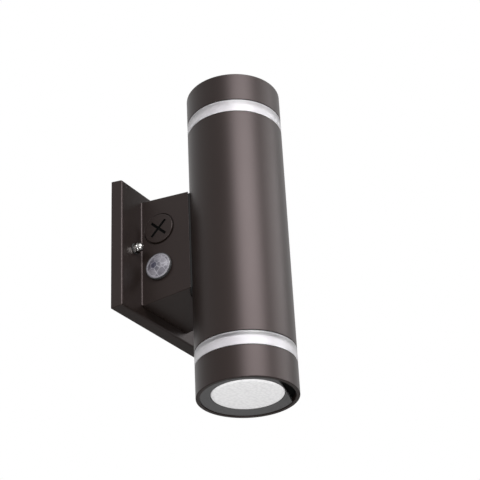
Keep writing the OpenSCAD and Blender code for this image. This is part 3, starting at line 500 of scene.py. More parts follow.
def grown(name, graph, values):
    """Runs a tree on a new object with the values of its named inputs, and keeps the mesh."""
    piece = added(name, bpy.data.meshes.new(name))
    modifier = piece.modifiers.new("shape", "NODES")
    modifier.node_group = graph.tree
    for item in graph.tree.interface.items_tree:
        if item.in_out == "INPUT" and item.name in values:
            modifier[item.identifier] = values[item.name]
    plain(piece)
    for place in reversed(range(len(piece.data.materials))):
        if piece.data.materials[place] is None:
            piece.data.materials.pop(index=place)
    return piece


copies, want = shape_tree(
    "rows_of_copies", Object=["Copy"], Float=["Across", "Up", "Out"], Int=["Columns", "Rows"],
    Material=["Material"])
upright = (math.pi / 2, 0, 0)
spots = copies.add("GeometryNodeMeshGrid", {
    "Size X": want["Across"], "Size Y": want["Up"],
    "Vertices X": want["Columns"], "Vertices Y": want["Rows"]}, out="Mesh")
spots = copies.add("GeometryNodeTransform", {
    "Geometry": spots, "Rotation": upright,
    "Translation": copies.add("ShaderNodeCombineXYZ", {"Y": want["Out"] * -1})})
spots = copies.add("GeometryNodeInstanceOnPoints", {
    "Points": spots, "Rotation": upright,
    "Instance": copies.add("GeometryNodeObjectInfo", {"Object": want["Copy"]}, out="Geometry")})
ends_in(copies, spots, want["Material"])


rounding_gap_mm = 0.01


def welded(piece):
    """Joins the points that rounding left in one place, so that no face is without an area."""
    shell = bmesh.new()
    shell.from_mesh(piece.data)
    bmesh.ops.remove_doubles(shell, verts=shell.verts, dist=rounding_gap_mm * MM)
    bmesh.ops.dissolve_degenerate(shell, edges=shell.edges, dist=weld_mm * MM)
    shell.to_mesh(piece.data)
    shell.free()
    return piece


def carved(piece, tools, operation="DIFFERENCE"):
    """Cuts the tools out of a piece, or joins or crosses them, and removes the tools."""
    for tool in tools:
        step = piece.modifiers.new("carve", "BOOLEAN")
        step.operation, step.object, step.solver = operation, tool, "EXACT"
    plain(piece)
    for tool in tools:
        bpy.data.objects.remove(tool)
    return piece


def edged(piece, width_mm, over):
    """Rounds the edges where a piece turns by more than that many degrees."""
    bevel = piece.modifiers.new("eased_edges", "BEVEL")
    bevel.width, bevel.segments = width_mm * MM, 2
    bevel.limit_method, bevel.angle_limit = "ANGLE", math.radians(over)
    return plain(piece)


nut_across_flats = 7.9
nut_hexagon_t = 3.2
nut_neck_t = 0.8
nut_dome_r = 3.5
nut_bore_l = 4.9
nut_seat = plate_face + washer_t
corner_r = nut_across_flats / 2 / math.cos(math.radians(30))
face_r = nut_across_flats / 2 - 0.05
corner_slope = math.tan(math.radians(60))
# how far the shapes that cut the nut stand out of it
spare = 0.5
dome_z, dome_from, dome_steps = nut_hexagon_t + nut_neck_t, 0.4, 12
dome_outline = [(0, dome_from), (nut_dome_r, dome_from), (nut_dome_r, dome_z)] + [
    (nut_dome_r * math.cos(a), dome_z + nut_dome_r * math.sin(a))
    for a in (math.pi / 2 * k / dome_steps for k in range(1, dome_steps))
] + [(0, dome_z + nut_dome_r)]
one_nut = turned("one_nut", [
    (0, 0), (corner_r, 0), (corner_r, nut_hexagon_t), (0, nut_hexagon_t)], bright_nickel, steps=6)
corner_cone = turned("corner_cone", [
    (0, -spare), (face_r + (nut_hexagon_t + spare) * corner_slope, -spare),
    (face_r, nut_hexagon_t), (0, nut_hexagon_t)], bright_nickel, steps=72)
carved(one_nut, [corner_cone], "INTERSECT")
carved(one_nut, [turned("dome", dome_outline, bright_nickel, steps=48)], "UNION")
carved(one_nut, [turned("bore", [
    (0, -2 * spare), (bore_r, -2 * spare), (bore_r, nut_bore_l), (0, nut_bore_l)],
    bright_nickel, steps=32)])
welded(edged(one_nut, width_mm=0.1, over=28))
acorn_nuts = smoothed(grown("acorn_nuts", copies, {
    "Copy": one_nut, "Across": 2 * stud_x * MM, "Up": 0.0, "Columns": 2, "Rows": 1,
    "Out": nut_seat * MM, "Material": bright_nickel}))
bpy.data.objects.remove(one_nut)
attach(acorn_nuts, "fixture")
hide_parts("cap_nuts")


# Arm
# A die-cast box with sides that lean in and a hollow end that fits the tube. It is open
# at the back, where four screws from behind the plate hold it, and coated like the plate.
arm_half_w, arm_half_h = 31.8, 49.2
arm_slope = math.radians(5.1)
arm_lean = math.tan(arm_slope)
near_face, arm_end_from, arm_ease = 0.06, 44, 0.8


def arm_edge(edge):
    """More rounding along the arm's four long corners and down the edges beside the tube."""
    spots = []
    for v in edge.verts:
        out = -v.co.y / MM - plate_face
        spots.append((abs(v.co.x) / MM + out * arm_lean > arm_half_w - near_face,
                      abs(v.co.z) / MM + out * arm_lean > arm_half_h - near_face, out))
    (on_side, on_top, out), (side_too, top_too, out_too) = spots
    beside_tube = min(out, out_too) > arm_end_from
    if on_side and side_too and (beside_tube or on_top and top_too):
        return arm_ease
    return None


arm = eased_copy("arm", "arm_housing", bronze_powder_coat, coat_ease, arm_edge, arm_ease, 4)

# the small hollow fillet that the casting has down both sides of its foot
foot = bmesh.new()
foot.from_mesh(arm.data)
hollow, root, foot_gap, foot_steps = 0.7, 0.5, 0.02, 6
quarter = [math.pi / 2 * k / foot_steps for k in range(1, foot_steps + 1)]
section = [(-root, 0), (hollow, 0)] + [
    (hollow - hollow * math.sin(a), hollow - hollow * math.cos(a)) for a in quarter
] + [(-root, hollow)]
for side in (-1, 1):
    ends = [[foot.verts.new(MM * Vector((
        side * (arm_half_w + away), -(plate_face + foot_gap + out),
        up * (arm_half_h - arm_ease)))) for away, out in section] for up in (-1, 1)]
    for j in range(len(section)):
        near = (j + 1) % len(section)
        foot.faces.new((ends[0][j], ends[0][near], ends[1][near], ends[1][j])).smooth = True
    foot.faces.new(ends[0])
    foot.faces.new(ends[1])
bmesh.ops.recalc_face_normals(foot, faces=foot.faces)
foot.to_mesh(arm.data)
foot.free()
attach(arm, "fixture")
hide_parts("arm_housing")


def dressed(material, *nodes):
    """Gives CAD nodes whose shape is right their finish."""
    for node in nodes:
        for place in cad[node].material_slots:
            place.material = material


dressed(black_rubber, "arm_gasket", "saddle_gasket", "wire_grommet")

screw_steel = metal("stainless_steel", (0.46, 0.46, 0.45), (0.62, 0.62, 0.60),
                    rough=0.26, patch_mm=1.5)
head_curve = ((0, 1), (0.45, 1), (0.8, 0.85), (0.96, 0.55), (1, 0.25), (1, 0))


def box_tool(place, *size):
    """A box to cut with, of that size in mm."""
    box = bmesh.new()
    bmesh.ops.create_cube(box, size=1)
    return made("box_tool", box, place @ Matrix.Diagonal((*size, 1)))


def pan_screw(name, shank_r, length, head_r, head_h):
    """One screw with a domed head on z = 0, a cross in the head and a ridged shank."""
    pitch, deep, point_r = shank_r * 0.32, shank_r * 0.13, shank_r * 0.7
    outline = [(head_r * out, head_h * up) for out, up in head_curve] + [(shank_r, 0)]
    for k in range(int(length / pitch)):
        outline += [(shank_r - deep, -(k + 0.5) * pitch), (shank_r, -(k + 1) * pitch)]
    outline[-1] = (point_r, -length)
    screw = turned(name, outline + [(0, -length)], screw_steel, steps=40)
    cross_l, cross_w, cross_z = head_r * 1.15, head_r * 0.25, head_h * 0.75
    cross = [to_metres @ Matrix.Rotation(a, 4, "Z") @ Matrix.Translation((0, 0, cross_z))
             for a in (0, math.pi / 2)]
    return carved(screw, [box_tool(place, cross_l, cross_w, head_h) for place in cross])


arm_screws_across, arm_screws_up, head_seat = 46, 82, 7.4
arm_screw = pan_screw("one_arm_screw", shank_r=2.5, length=14.95, head_r=4.5, head_h=3.2)
arm_screws = smoothed(grown("arm_screws_set", copies, {
    "Copy": arm_screw, "Across": arm_screws_across * MM, "Up": arm_screws_up * MM,
    "Columns": 2, "Rows": 2, "Out": 0.0, "Material": screw_steel}))
bpy.data.objects.remove(arm_screw)
# the heads face the wall, so the set is turned about the upright axis
arm_screws.data.transform(Matrix.Translation((0, -head_seat * MM, 0))
                          @ Matrix.Rotation(math.pi, 4, "Z"))
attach(arm_screws, "fixture")
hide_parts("arm_screws")


# Photocell
# A round dark flange with a grey prismatic lens snapped into it, on a threaded barrel that
# passes through the arm's left side. The lens is moulded in flat facets with a paler rim;
# painted glints lighten a mosaic of facets and their edges outside a darker patch.
fittings_out, fittings_apart = 27.2, 36
flange_r, flange_low, flange_top = 11.6, 0.8, 2.6
barrel_r, barrel_end = 9, -22
lead_hole_r, lead_hole_l = 2.6, 3
lens_seat_r, lens_seat = 11.0, 1.4
sensor_r, sensor_floor = 7.5, -0.6


def on_arm_side(height):
    """Local Z points out of the arm's left side and local X points up."""
    half_w = arm_half_w - (fittings_out - plate_face) * arm_lean
    return Matrix(((0, -math.sin(arm_slope), -math.cos(arm_slope), -half_w),
                   (0, math.cos(arm_slope), -math.sin(arm_slope), -fittings_out),
                   (1, 0, 0, height), (0, 0, 0, 1)))


cell_place = on_arm_side(-fittings_apart / 2)
cell_plastic = moulded("dark_grey_moulding", (0.020, 0.020, 0.022), (0.034, 0.034, 0.036),
                       rough=0.42, grain_mm=0.6, depth_mm=0.02)
cell_outline = eased([
    (0, barrel_end + lead_hole_l, 0), (lead_hole_r, barrel_end + lead_hole_l, 0),
    (lead_hole_r, barrel_end, 0), (barrel_r, barrel_end, 0.4), (barrel_r, flange_low, 0),
    (flange_r, flange_low, 0.2), (flange_r, flange_top, 0.35), (lens_seat_r, flange_top, 0.1),
    (lens_seat_r, lens_seat, 0), (sensor_r, lens_seat, 0), (sensor_r, sensor_floor, 0),
    (0, sensor_floor, 0)])
photocell = turned("photocell_barrel", cell_outline, cell_plastic, [cell_place])
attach(photocell, "fixture")
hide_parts("photocell_body")
dressed(cell_plastic, "photocell_nut")
dressed(black_rubber, "photocell_gasket")

# the sensor under the lens is a disc of resin over a track that runs to and fro
track = finish("sensor_track")
winding = track.add("ShaderNodeTexWave", {
    "Vector": own_place(track), "Scale": 0.16 / MM, "Distortion": 1.5, "Detail": 1.0},
    bands_direction="Z")
dressed(skin(track, {
    "Base Color": tint(track, winding > 0.5, (0.42, 0.27, 0.13), (0.60, 0.54, 0.42)),
    "Roughness": 0.3 + grain(track, 2) * 0.1}), "photocell_sensor")


def away_from(graph, centre, near_mm, far_mm):
    """0 at up to near_mm from a centre given in mm, and 1 from far_mm on."""
    away = graph.add("ShaderNodeVectorMath", {0: own_place(graph), 1: centre * MM},
                     out="Value", operation="DISTANCE")
    return graph.add("ShaderNodeMapRange", {
        "Value": away, "From Min": near_mm * MM, "From Max": far_mm * MM})


prism = finish("prismatic_grey_lens")
facet_mm = 5.4
dark_patch, rim_middle = Vector((0.9, 2.6, 3)), Vector((0, 0, flange_top))
deep = away_from(prism, cell_place @ dark_patch, near_mm=2.6, far_mm=6.4)
rim = away_from(prism, cell_place @ rim_middle, near_mm=9.75, far_mm=10.0)
streak = grain(prism, 1.6, 2)
mosaic = {"Vector": own_place(prism), "Scale": 1 / (facet_mm * MM)}
# painted glints: the facets of this mosaic and their edges are painted lighter, except in the
# darker patch
facet_glint = prism.add("ShaderNodeTexVoronoi", mosaic, out="Color")
vein_glint = prism.add("ShaderNodeTexVoronoi", mosaic, out="Distance", feature="DISTANCE_TO_EDGE")
shade = tint(prism, deep, (0.022, 0.022, 0.042), (0.074, 0.070, 0.086))
shade = tint(prism, facet_glint * deep, shade, (0.215, 0.206, 0.232))
shade = tint(prism, (vein_glint < 0.05) * 0.4, shade, (0.36, 0.35, 0.385))
shade = tint(prism, rim, shade, (0.20, 0.192, 0.215))
grey_lens = skin(prism, {
    "Base Color": shade, "Roughness": 0.16 + streak * 0.12, "IOR": 1.58,
    "Specular IOR Level": 0.5, "Normal": relief(prism, streak, 0.03, 0.4)})

lens_r, rim_z, dome_h = 10.9, 1.2, 2.2
dome_r = (lens_r ** 2 + dome_h ** 2) / (2 * dome_h)


def dome_height(radius):
    """How high the lens's dome stands at that radius."""
    return rim_z + dome_h - dome_r + math.sqrt(dome_r ** 2 - radius ** 2)


facets = bmesh.new()
around, wedges = 72, 12
inner_wedges, wedge_steps = wedges // 2, around // wedges
rim_r, outer_r, middle_r, inner_r, dip = 9.9, 9.7, 6.4, 3.0, 0.15
facet_rings = [
    (lens_r, 0.0, around, 0.0), (lens_r, rim_z, around, 0.0),
    (rim_r, dome_height(rim_r), around, 0.0), (outer_r, dome_height(rim_r) - dip, wedges, 0.0),
    (middle_r, dome_height(middle_r) + dip, wedges, 0.5),
    (inner_r, dome_height(inner_r), inner_wedges, 0.5)]
loops = []
for radius, height, count, shift in facet_rings:
    loops.append([facets.verts.new((
        radius * math.cos(2 * math.pi * (k + shift) / count),
        radius * math.sin(2 * math.pi * (k + shift) / count), height)) for k in range(count)])
for low, high in zip(loops[:3], loops[1:3]):
    for k in range(len(low)):
        facets.faces.new((low[k - 1], low[k], high[k], high[k - 1]))
facets.faces.new(loops[0][::-1])
for k in range(wedges):
    near = (k + 1) % wedges
    fan = [loops[2][(wedge_steps * k + j) % around] for j in range(wedge_steps + 1)]
    facets.faces.new(fan + [loops[3][near], loops[3][k]])
    facets.faces.new((loops[3][k], loops[3][near], loops[4][k]))
    facets.faces.new((loops[3][near], loops[4][near], loops[4][k]))
for k in range(inner_wedges):
    a, b, c = loops[4][2 * k], loops[4][2 * k + 1], loops[4][(2 * k + 2) % wedges]
    facets.faces.new((a, b, loops[5][k]))
    facets.faces.new((b, c, loops[5][(k + 1) % inner_wedges], loops[5][k]))
facets.faces.new(loops[5])
bmesh.ops.recalc_face_normals(facets, faces=facets.faces)
lens_place = to_metres @ cell_place @ Matrix.Translation((0, 0, lens_seat))
cell_cover = made("photocell_cover", facets, lens_place, grey_lens)
edged(cell_cover, width_mm=0.12, over=4)
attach(cell_cover, "fixture")
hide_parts("photocell_lens")


# Selector plug
# A round turned cap with two crossed slots for a coin or a wide screwdriver. It screws into
# the arm over the selector switch, with a rubber ring under its head. It is coated like the
# arm, and the walls and floor of its slots are painted near black as painted shade.
plug_place = on_arm_side(fittings_apart / 2)
plug_r, plug_low, plug_top = 13.2, -1.2, 1.2
shank_r, shank_end, lead_in = 10, -8, 0.6
slot_l, slot_w, slot_deep = 18.6, 2.3, 2.2
plug_outline = eased([
    (0, shank_end, 0), (shank_r - lead_in, shank_end, 0), (shank_r, shank_end + lead_in, 0),
    (shank_r, plug_low, 0), (plug_r, plug_low, 0.15), (plug_r, plug_top, 0.5),
    (0, plug_top, 0)])
plug = turned("selector_plug", plug_outline, bronze_powder_coat, [plug_place])
cross = [to_metres @ plug_place @ Matrix.Rotation(math.radians(turn), 4, "Z")
         @ Matrix.Translation((0, 0, plug_top)) for turn in (45, 135)]
carved(plug, [box_tool(slot, slot_l, slot_w, 2 * slot_deep) for slot in cross])
smoothed(welded(edged(plug, width_mm=0.15, over=60)))
plug.data.materials.append(moulded(
    "matt_black_nylon", (0.002, 0.002, 0.002), (0.004, 0.004, 0.004),
    rough=0.70, grain_mm=0.5, depth_mm=0.02, gloss=0.06))
# faces down in the slots take the near-black second material, as painted shade in the recess
slot_floor, slot_brim = plug_top - slot_deep - 0.1, plug_top - 0.2
for face in plug.data.polygons:
    spot = plug_place.inverted() @ (face.center / MM)
    if slot_floor < spot.z < slot_brim and spot.xy.length < slot_l / 2 + 0.3:
        face.material_index = 1
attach(plug, "plug")
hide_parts("switch_plug")
dressed(black_rubber, "plug_o_ring")

# behind it a slide switch on a small circuit board sets the light's brightness
board = finish("green_circuit_board")
tracks = board.add("ShaderNodeTexBrick", {
    "Vector": own_place(board), "Scale": 0.25 / MM, "Mortar Size": 0.06, "Mortar Smooth": 0.1},
    out="Fac")
board_green = skin(board, {
    "Base Color": tint(board, tracks, (0.012, 0.085, 0.035), (0.030, 0.160, 0.070)),
    "Roughness": 0.28 + grain(board, 3) * 0.1, "Normal": relief(board, tracks, 0.04, 0.5)})
dressed(board_green, "selector_board")
dressed(moulded("black_nylon", (0.012, 0.012, 0.013), (0.024, 0.024, 0.025),
                rough=0.40, grain_mm=0.5, depth_mm=0.02), "selector_switch")
dressed(moulded("white_nylon", (0.62, 0.62, 0.60), (0.72, 0.72, 0.70),
                rough=0.36, grain_mm=0.5, depth_mm=0.02), "selector_knob")
dressed(screw_steel, "board_screws")


# Body tube
# An extruded aluminium tube with three screw ports along its inner wall. Cut square, its
# ends deburred, drilled at the back for the arm's screws and wires, and powder coated.
tubes, tube = shape_tree("extruded_tube", Material=["Material"], Float=[
    "Radius", "Wall", "Length", "Edge", "Port circle", "Port radius", "Port length",
    "Port hole", "Wire hole", "Screw hole", "Screw pitch", "Axis out"])
wall = tubes.add("GeometryNodeCurvePrimitiveQuadrilateral", {
    "Width": tube["Wall"], "Height": tube["Length"]})
wall = tubes.add("GeometryNodeFilletCurve", {
    "Curve": wall, "Count": 4, "Radius": tube["Edge"]}, mode="POLY")
path = tubes.add("GeometryNodeCurvePrimitiveCircle", {
    "Resolution": 192, "Radius": tube["Radius"] - tube["Wall"] * 0.5})
wall = tubes.add("GeometryNodeCurveToMesh", {"Curve": path, "Profile Curve": wall})
three = tubes.add("GeometryNodeMeshCircle", {"Vertices": 3, "Radius": tube["Port circle"]})
three = tubes.add("GeometryNodeTransform", {
    "Geometry": three, "Rotation": (0, 0, math.radians(30))})


def rod(radius, length):
    """An upright rod, as a step of the tube's tree."""
    return tubes.add("GeometryNodeMeshCylinder", {
        "Vertices": 40, "Radius": radius, "Depth": length}, out="Mesh")


def at_ports(radius, length):
    """A rod of that radius and length at each of the three ports."""
    rods = tubes.add("GeometryNodeInstanceOnPoints", {
        "Points": three, "Instance": rod(radius, length)})
    return tubes.add("GeometryNodeRealizeInstances", {"Geometry": rods})


def drilled(radius, height):
    """A drill that enters the wall side of the tube at that height."""
    return tubes.add("GeometryNodeTransform", {
        "Geometry": rod(radius, tube["Wall"] * 6), "Rotation": upright,
        "Translation": tubes.add("ShaderNodeCombineXYZ", {
            "Y": tube["Radius"] - tube["Wall"] * 0.5, "Z": height})})


wall = tubes.add("GeometryNodeMeshBoolean", {
    "Mesh": [wall, at_ports(tube["Port radius"], tube["Port length"])]}, operation="UNION")
wall = tubes.add("GeometryNodeMeshBoolean", {"Mesh 1": wall, "Mesh 2": [
    at_ports(tube["Port hole"], tube["Length"] * 1.1), drilled(tube["Wire hole"], 0.0),
    drilled(tube["Screw hole"], tube["Screw pitch"] * 0.5),
    drilled(tube["Screw hole"], tube["Screw pitch"] * -0.5)]}, operation="DIFFERENCE")
wall = tubes.add("GeometryNodeTransform", {
    "Geometry": wall,
    "Translation": tubes.add("ShaderNodeCombineXYZ", {"Y": tube["Axis out"] * -1})})
ends_in(tubes, wall, tube["Material"])

axis_out = 86.3
tube_r = 40
tube_half = 100.8
body_tube = smoothed(grown("body_tube", tubes, {
    "Radius": tube_r * MM, "Wall": 3 * MM, "Length": 2 * tube_half * MM, "Edge": 0.3 * MM,
    "Port circle": 32.2 * MM, "Port radius": 5.4 * MM, "Port length": 177.6 * MM,
    "Port hole": 2.05 * MM, "Wire hole": 7.5 * MM, "Screw hole": 2.7 * MM,
    "Screw pitch": 64 * MM, "Axis out": axis_out * MM, "Material": bronze_powder_coat}))
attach(body_tube, "fixture")
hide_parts("main_tube")
dressed(screw_steel, "tube_screws")


# Driver
# The driver's pressed case stands in the tube on a bent steel bracket, whose foot is screwed
# to the lower heat sink. Its case is painted grey and its bracket is zinc plated.
dressed(moulded("grey_case_paint", (0.42, 0.42, 0.41), (0.50, 0.50, 0.49),
                rough=0.44, grain_mm=0.9, depth_mm=0.03, gloss=0.4), "driver_case")
dressed(zinc_plate, "driver_bracket")
dressed(screw_steel, "driver_screws", "bracket_screws")


# Heat sinks and lamp boards
# A cast aluminium disc with ribs closes each end of the tube and cools a round board with
# twelve chips. A white cone on the board throws their light out through the lens.
bare_aluminium = metal("bare_aluminium", (0.60, 0.61, 0.62), (0.78, 0.78, 0.79),
                       rough=0.34, patch_mm=1.2, depth_mm=0.03)
dressed(bare_aluminium, "heat_sink_top", "heat_sink_bottom")
dressed(screw_steel, "heat_sink_screws", "end_screws")
dressed(moulded("white_solder_mask", (0.78, 0.78, 0.77), (0.84, 0.84, 0.83),
                rough=0.30, grain_mm=1.0, depth_mm=0.01), "led_board_top", "led_board_bottom")
dressed(moulded("lamp_phosphor", (0.80, 0.58, 0.12), (0.88, 0.68, 0.20),
                rough=0.42, grain_mm=0.4, depth_mm=0.02), "leds")
dressed(moulded("reflector_white", (0.82, 0.82, 0.81), (0.87, 0.87, 0.86),
                rough=0.22, grain_mm=2.0, depth_mm=0.01), "reflector_top", "reflector_bottom")


# Glow rings
# Between the tube and each end ring, a ring of clear acrylic with a satin skin stands in
# front of an opal white sleeve, with a thin black seal above and below it. The sleeve glows
# with painted light that evens out its brightness; nothing inside gives light.
def both_ends(outline):
    """The same outline for the top end and, upside down, for the bottom end."""
    return (("top", outline), ("bottom", [(r, -z) for r, z in outline]))


on_axis = Matrix.Translation((0, -axis_out, 0))
seal_t, seat_gap = 0.6, 0.03
ring_top_z = 113
sleeve_in_r, sleeve_out_r, ring_in_r = 33.2, 34.8, 36
shadow_low, shadow_top = 102.8, 103.2

opal = finish("opal_sleeve")
milky = grain(opal, 20, 2)
up = opal.add("ShaderNodeSeparateXYZ", {0: own_place(opal)}, out="Z")
# near the tube's end the sleeve is painted darker and its glow fades, as painted shade
painted_shade_by_tube = opal.add("ShaderNodeMapRange", {
    "Value": up.maths("ABSOLUTE", up, 0.0), "From Min": shadow_top * MM,
    "From Max": shadow_low * MM})
white = tint(opal, milky, (0.18, 0.177, 0.184), (0.21, 0.207, 0.212))
opal_sleeve = skin(opal, {
    "Base Color": tint(opal, painted_shade_by_tube, white, (0.10, 0.095, 0.105)),
    "Roughness": 0.5 + milky * 0.1, "Specular IOR Level": 0.12,
    # painted glow: the emission stands in for light falling on the sleeve
    "Emission Color": tint(opal, painted_shade_by_tube, (1.0, 0.98, 1.0), (0.1, 0.1, 0.1)),
    "Emission Strength": 0.38})
clear = finish("clear_acrylic")
swirl = grain(clear, 8, 2)
clear_acrylic = skin(clear, {
    "Base Color": (0.97, 0.955, 0.975), "Roughness": 0.42 + swirl * 0.06, "IOR": 1.49,
    "Specular IOR Level": 0.07, "Transmission Weight": 1.0,
    "Normal": relief(clear, swirl, 0.01, 0.2)})

for end, outline in both_ends([
        (sleeve_in_r, tube_half), (sleeve_out_r, tube_half), (sleeve_out_r, ring_top_z),
        (sleeve_in_r, ring_top_z)]):
    sleeve = turned("opal_sleeve_" + end, outline, opal_sleeve, [on_axis], steps=160)
    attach(sleeve, "fixture")
    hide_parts("glow_sleeve_" + end)
clear_low, clear_high = tube_half + seal_t + seat_gap, ring_top_z - seal_t - seat_gap
for end, outline in both_ends(eased([
        (ring_in_r, clear_low, 0.15), (tube_r, clear_low, 0.3), (tube_r, clear_high, 0.3),
        (ring_in_r, clear_high, 0.15)])):
    clear_ring = turned("clear_ring_" + end, outline, clear_acrylic, [on_axis], steps=192)
    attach(clear_ring, "fixture")
    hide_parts("accent_ring_" + end)
dressed(black_rubber, "ring_gaskets_top", "ring_gaskets_bottom")


# End rings
# A turned aluminium ring closes each end of the body, with a 3 mm lip round the lens, and is
# coated like the tube. Inside the lip lie a seal, the lens and a dished trim ring.
lens_z, lens_top_z, end_z = 133.0, 135.2, 139.1
lens_seal_z = lens_z - 0.8
shelf_r, shelf_z, pocket_r, lip_r = 28, 117, 34.5, 37
for end, outline in both_ends(eased([
        (shelf_r, ring_top_z, 0), (tube_r, ring_top_z, 0.35), (tube_r, end_z, 0.55),
        (lip_r, end_z, 0.3), (lip_r, lens_seal_z, 0), (pocket_r, lens_seal_z, 0),
        (pocket_r, shelf_z, 0), (shelf_r, shelf_z, 0)])):
    end_ring = turned("end_ring_cap_" + end, outline, bronze_powder_coat, [on_axis], steps=192)
    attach(end_ring, "fixture")
    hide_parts("end_ring_" + end)

# the trim ring has one milled flat, for a blade to lift it; the lens's rim shows there, painted
# black as painted shade
trim_in_r, trim_out_r, trim_z, trim_dish = 28.8, 36.9, end_z - 0.8, 1.6
flat_bearing, flat_out = -73, 29.0
flat_size = Vector((20, 80, 300))
flat_place = (to_metres @ on_axis @ Matrix.Rotation(math.radians(flat_bearing), 4, "Z")
              @ Matrix.Translation((flat_out + flat_size.x / 2, 0, 0)))
satin_trim = machined("satin_trim", (0.060, 0.059, 0.060), (0.084, 0.083, 0.084),
                      grain_mm=2.5, rough=0.55, unevenness=0.08,
                      values={"Specular IOR Level": 0.2})
for end, outline in both_ends(eased([
        (trim_in_r, lens_top_z, 0), (trim_out_r, lens_top_z, 0), (trim_out_r, trim_z, 0.25),
        (trim_in_r, trim_z - trim_dish, 0.2)])):
    trim = turned("trim_" + end, outline, satin_trim, [on_axis], steps=160)
    smoothed(carved(trim, [box_tool(flat_place, *flat_size)]))
    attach(trim, "fixture")
    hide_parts("trim_ring_" + end)

dressed(black_rubber, "lens_gasket_top", "lens_gasket_bottom")
pebble_mm = 3.0


def cells(graph, spot):
    """Distance from the middle of the nearest pebble, in pebbles."""
    return graph.add("ShaderNodeTexVoronoi", {
        "Vector": spot, "Scale": 1 / (pebble_mm * MM), "Randomness": 0.75},
        out="Distance", voronoi_dimensions="2D")


def off_axis(graph, spot, to_axis):
    """How far a spot is from the tube's axis, which lies to_axis from the origin."""
    spot = graph.add("ShaderNodeVectorMath", {0: spot, 1: to_axis}, operation="ADD")
    spot = graph.add("ShaderNodeVectorMath", {0: spot, 1: (1, 1, 0)}, operation="MULTIPLY")
    return graph.add("ShaderNodeVectorMath", {0: spot}, out="Value", operation="LENGTH")


frost = finish("frosted_glass")
etch = grain(frost, 0.9, 3)
spot = own_place(frost)
pebble = cells(frost, spot)
# past this radius the lens is painted black and metallic, as painted shade seen through the
# trim's flat
painted_shade_rim_from = 28.65
painted_shade_rim = off_axis(frost, spot, (0, axis_out * MM, 0)) > painted_shade_rim_from * MM
# the milky white is painted darker between the pebbles, as painted shade of the pressed face
milk_and_pebble_shade = tint(frost, pebble * 1.2 + etch * 0.25, (0.785, 0.78, 0.785), (0.68, 0.675, 0.685))
frosted_glass = skin(frost, {
    "Base Color": tint(frost, painted_shade_rim, milk_and_pebble_shade, (0.004, 0.004, 0.004)), "Metallic": painted_shade_rim,
    "Roughness": 0.66 + etch * 0.1 + painted_shade_rim * 0.2, "Specular IOR Level": 0.12,
    "Normal": relief(frost, etch, 0.02, 0.4)})

# the lens's face is pressed into low pebbles, which fade out before its rounded edge
pressed, want = shape_tree("pebbled_face", Object=["Body"], Material=["Material"], Float=[
    "Height", "Fade from", "Fade to", "Face", "Axis out", "Outwards"])
spot = pressed.add("GeometryNodeInputPosition")
low = pressed.add("ShaderNodeMath", {0: cells(pressed, spot) * 1.5, 1: 2.0}, operation="POWER")
low = pressed.add("ShaderNodeMath", {0: 1.0 - low, 1: 0.0}, operation="MAXIMUM")
to_axis = pressed.add("ShaderNodeCombineXYZ", {"Y": want["Axis out"]})
low = low * pressed.add("ShaderNodeMapRange", {
    "Value": off_axis(pressed, spot, to_axis), "From Min": want["Fade to"],
    "From Max": want["Fade from"]})
rise = pressed.add("ShaderNodeCombineXYZ", {"Z": low * want["Height"] * want["Outwards"]})
height = pressed.add("ShaderNodeSeparateXYZ", {0: spot}, out="Z")
disc_shape = pressed.add("GeometryNodeObjectInfo", {"Object": want["Body"]}, out="Geometry")
disc_shape = pressed.add("GeometryNodeSetPosition", {
    "Geometry": disc_shape, "Offset": rise,
    "Selection": height * want["Outwards"] > want["Face"] - 0.005 * MM})
ends_in(pressed, disc_shape, want["Material"])

lens_out_r = 36.8
face_z, face_r, face_ease = 136.92, 28.6, 1.5
face_steps = 60
across_face = [((face_r - face_ease) * (1 - k / face_steps), face_z)
               for k in range(1, face_steps + 1)]
for end, outline in both_ends(eased([
        (0, lens_z, 0), (lens_out_r, lens_z, 0), (lens_out_r, lens_top_z, 0),
        (face_r, lens_top_z, 0), (face_r, face_z, face_ease)], steps=8) + across_face):
    disc = turned("disc", outline, frosted_glass, [on_axis], steps=360)
    lens = grown("pressed_lens_" + end, pressed, {
        "Body": disc, "Height": 0.16 * MM, "Fade from": 25.4 * MM, "Fade to": 27 * MM,
        "Face": face_z * MM, "Axis out": axis_out * MM,
        "Outwards": 1.0 if end == "top" else -1.0, "Material": frosted_glass})
    bpy.data.objects.remove(disc)
    smoothed(lens, sharp_over=40)
    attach(lens, "fixture")
    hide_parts("lens_" + end)


# Leads
# Stranded copper wires in soft coloured insulation, laid loosely inside the light. They come
# from the wall box, the photocell and the selector to the driver, and from it to the chips.
lead_r = 0.8
supply_r = 1.0
lead_bend = 4.0
bend_steps, most_of_side = 8, 0.45
lead_laying, want = shape_tree(
    "round_leads", Object=["Route"], Float=["Radius"], Material=["Material"])
route = lead_laying.add("GeometryNodeObjectInfo", {"Object": want["Route"]}, out="Geometry")
route = lead_laying.add("GeometryNodeMeshToCurve", {"Mesh": route})
route = lead_laying.add("GeometryNodeCurveToMesh", {
    "Curve": route, "Fill Caps": True,
    "Profile Curve": lead_laying.add("GeometryNodeCurvePrimitiveCircle", {
        "Resolution": 16, "Radius": want["Radius"]})})
ends_in(lead_laying, route, want["Material"])


def bent(points):
    """The route with each corner rounded over lead_bend, or less where it is cramped."""
    points = [Vector(point) for point in points]
    route = [points[0]]
    for before, corner, after in zip(points, points[1:], points[2:]):
        reach = min(lead_bend, (before - corner).length * most_of_side,
                    (after - corner).length * most_of_side)
        first = corner + (before - corner).normalized() * reach
        last = corner + (after - corner).normalized() * reach
        for k in range(bend_steps + 1):
            t = k / bend_steps
            route.append((1 - t) ** 2 * first + 2 * t * (1 - t) * corner + t * t * last)
    return route + [points[-1]]


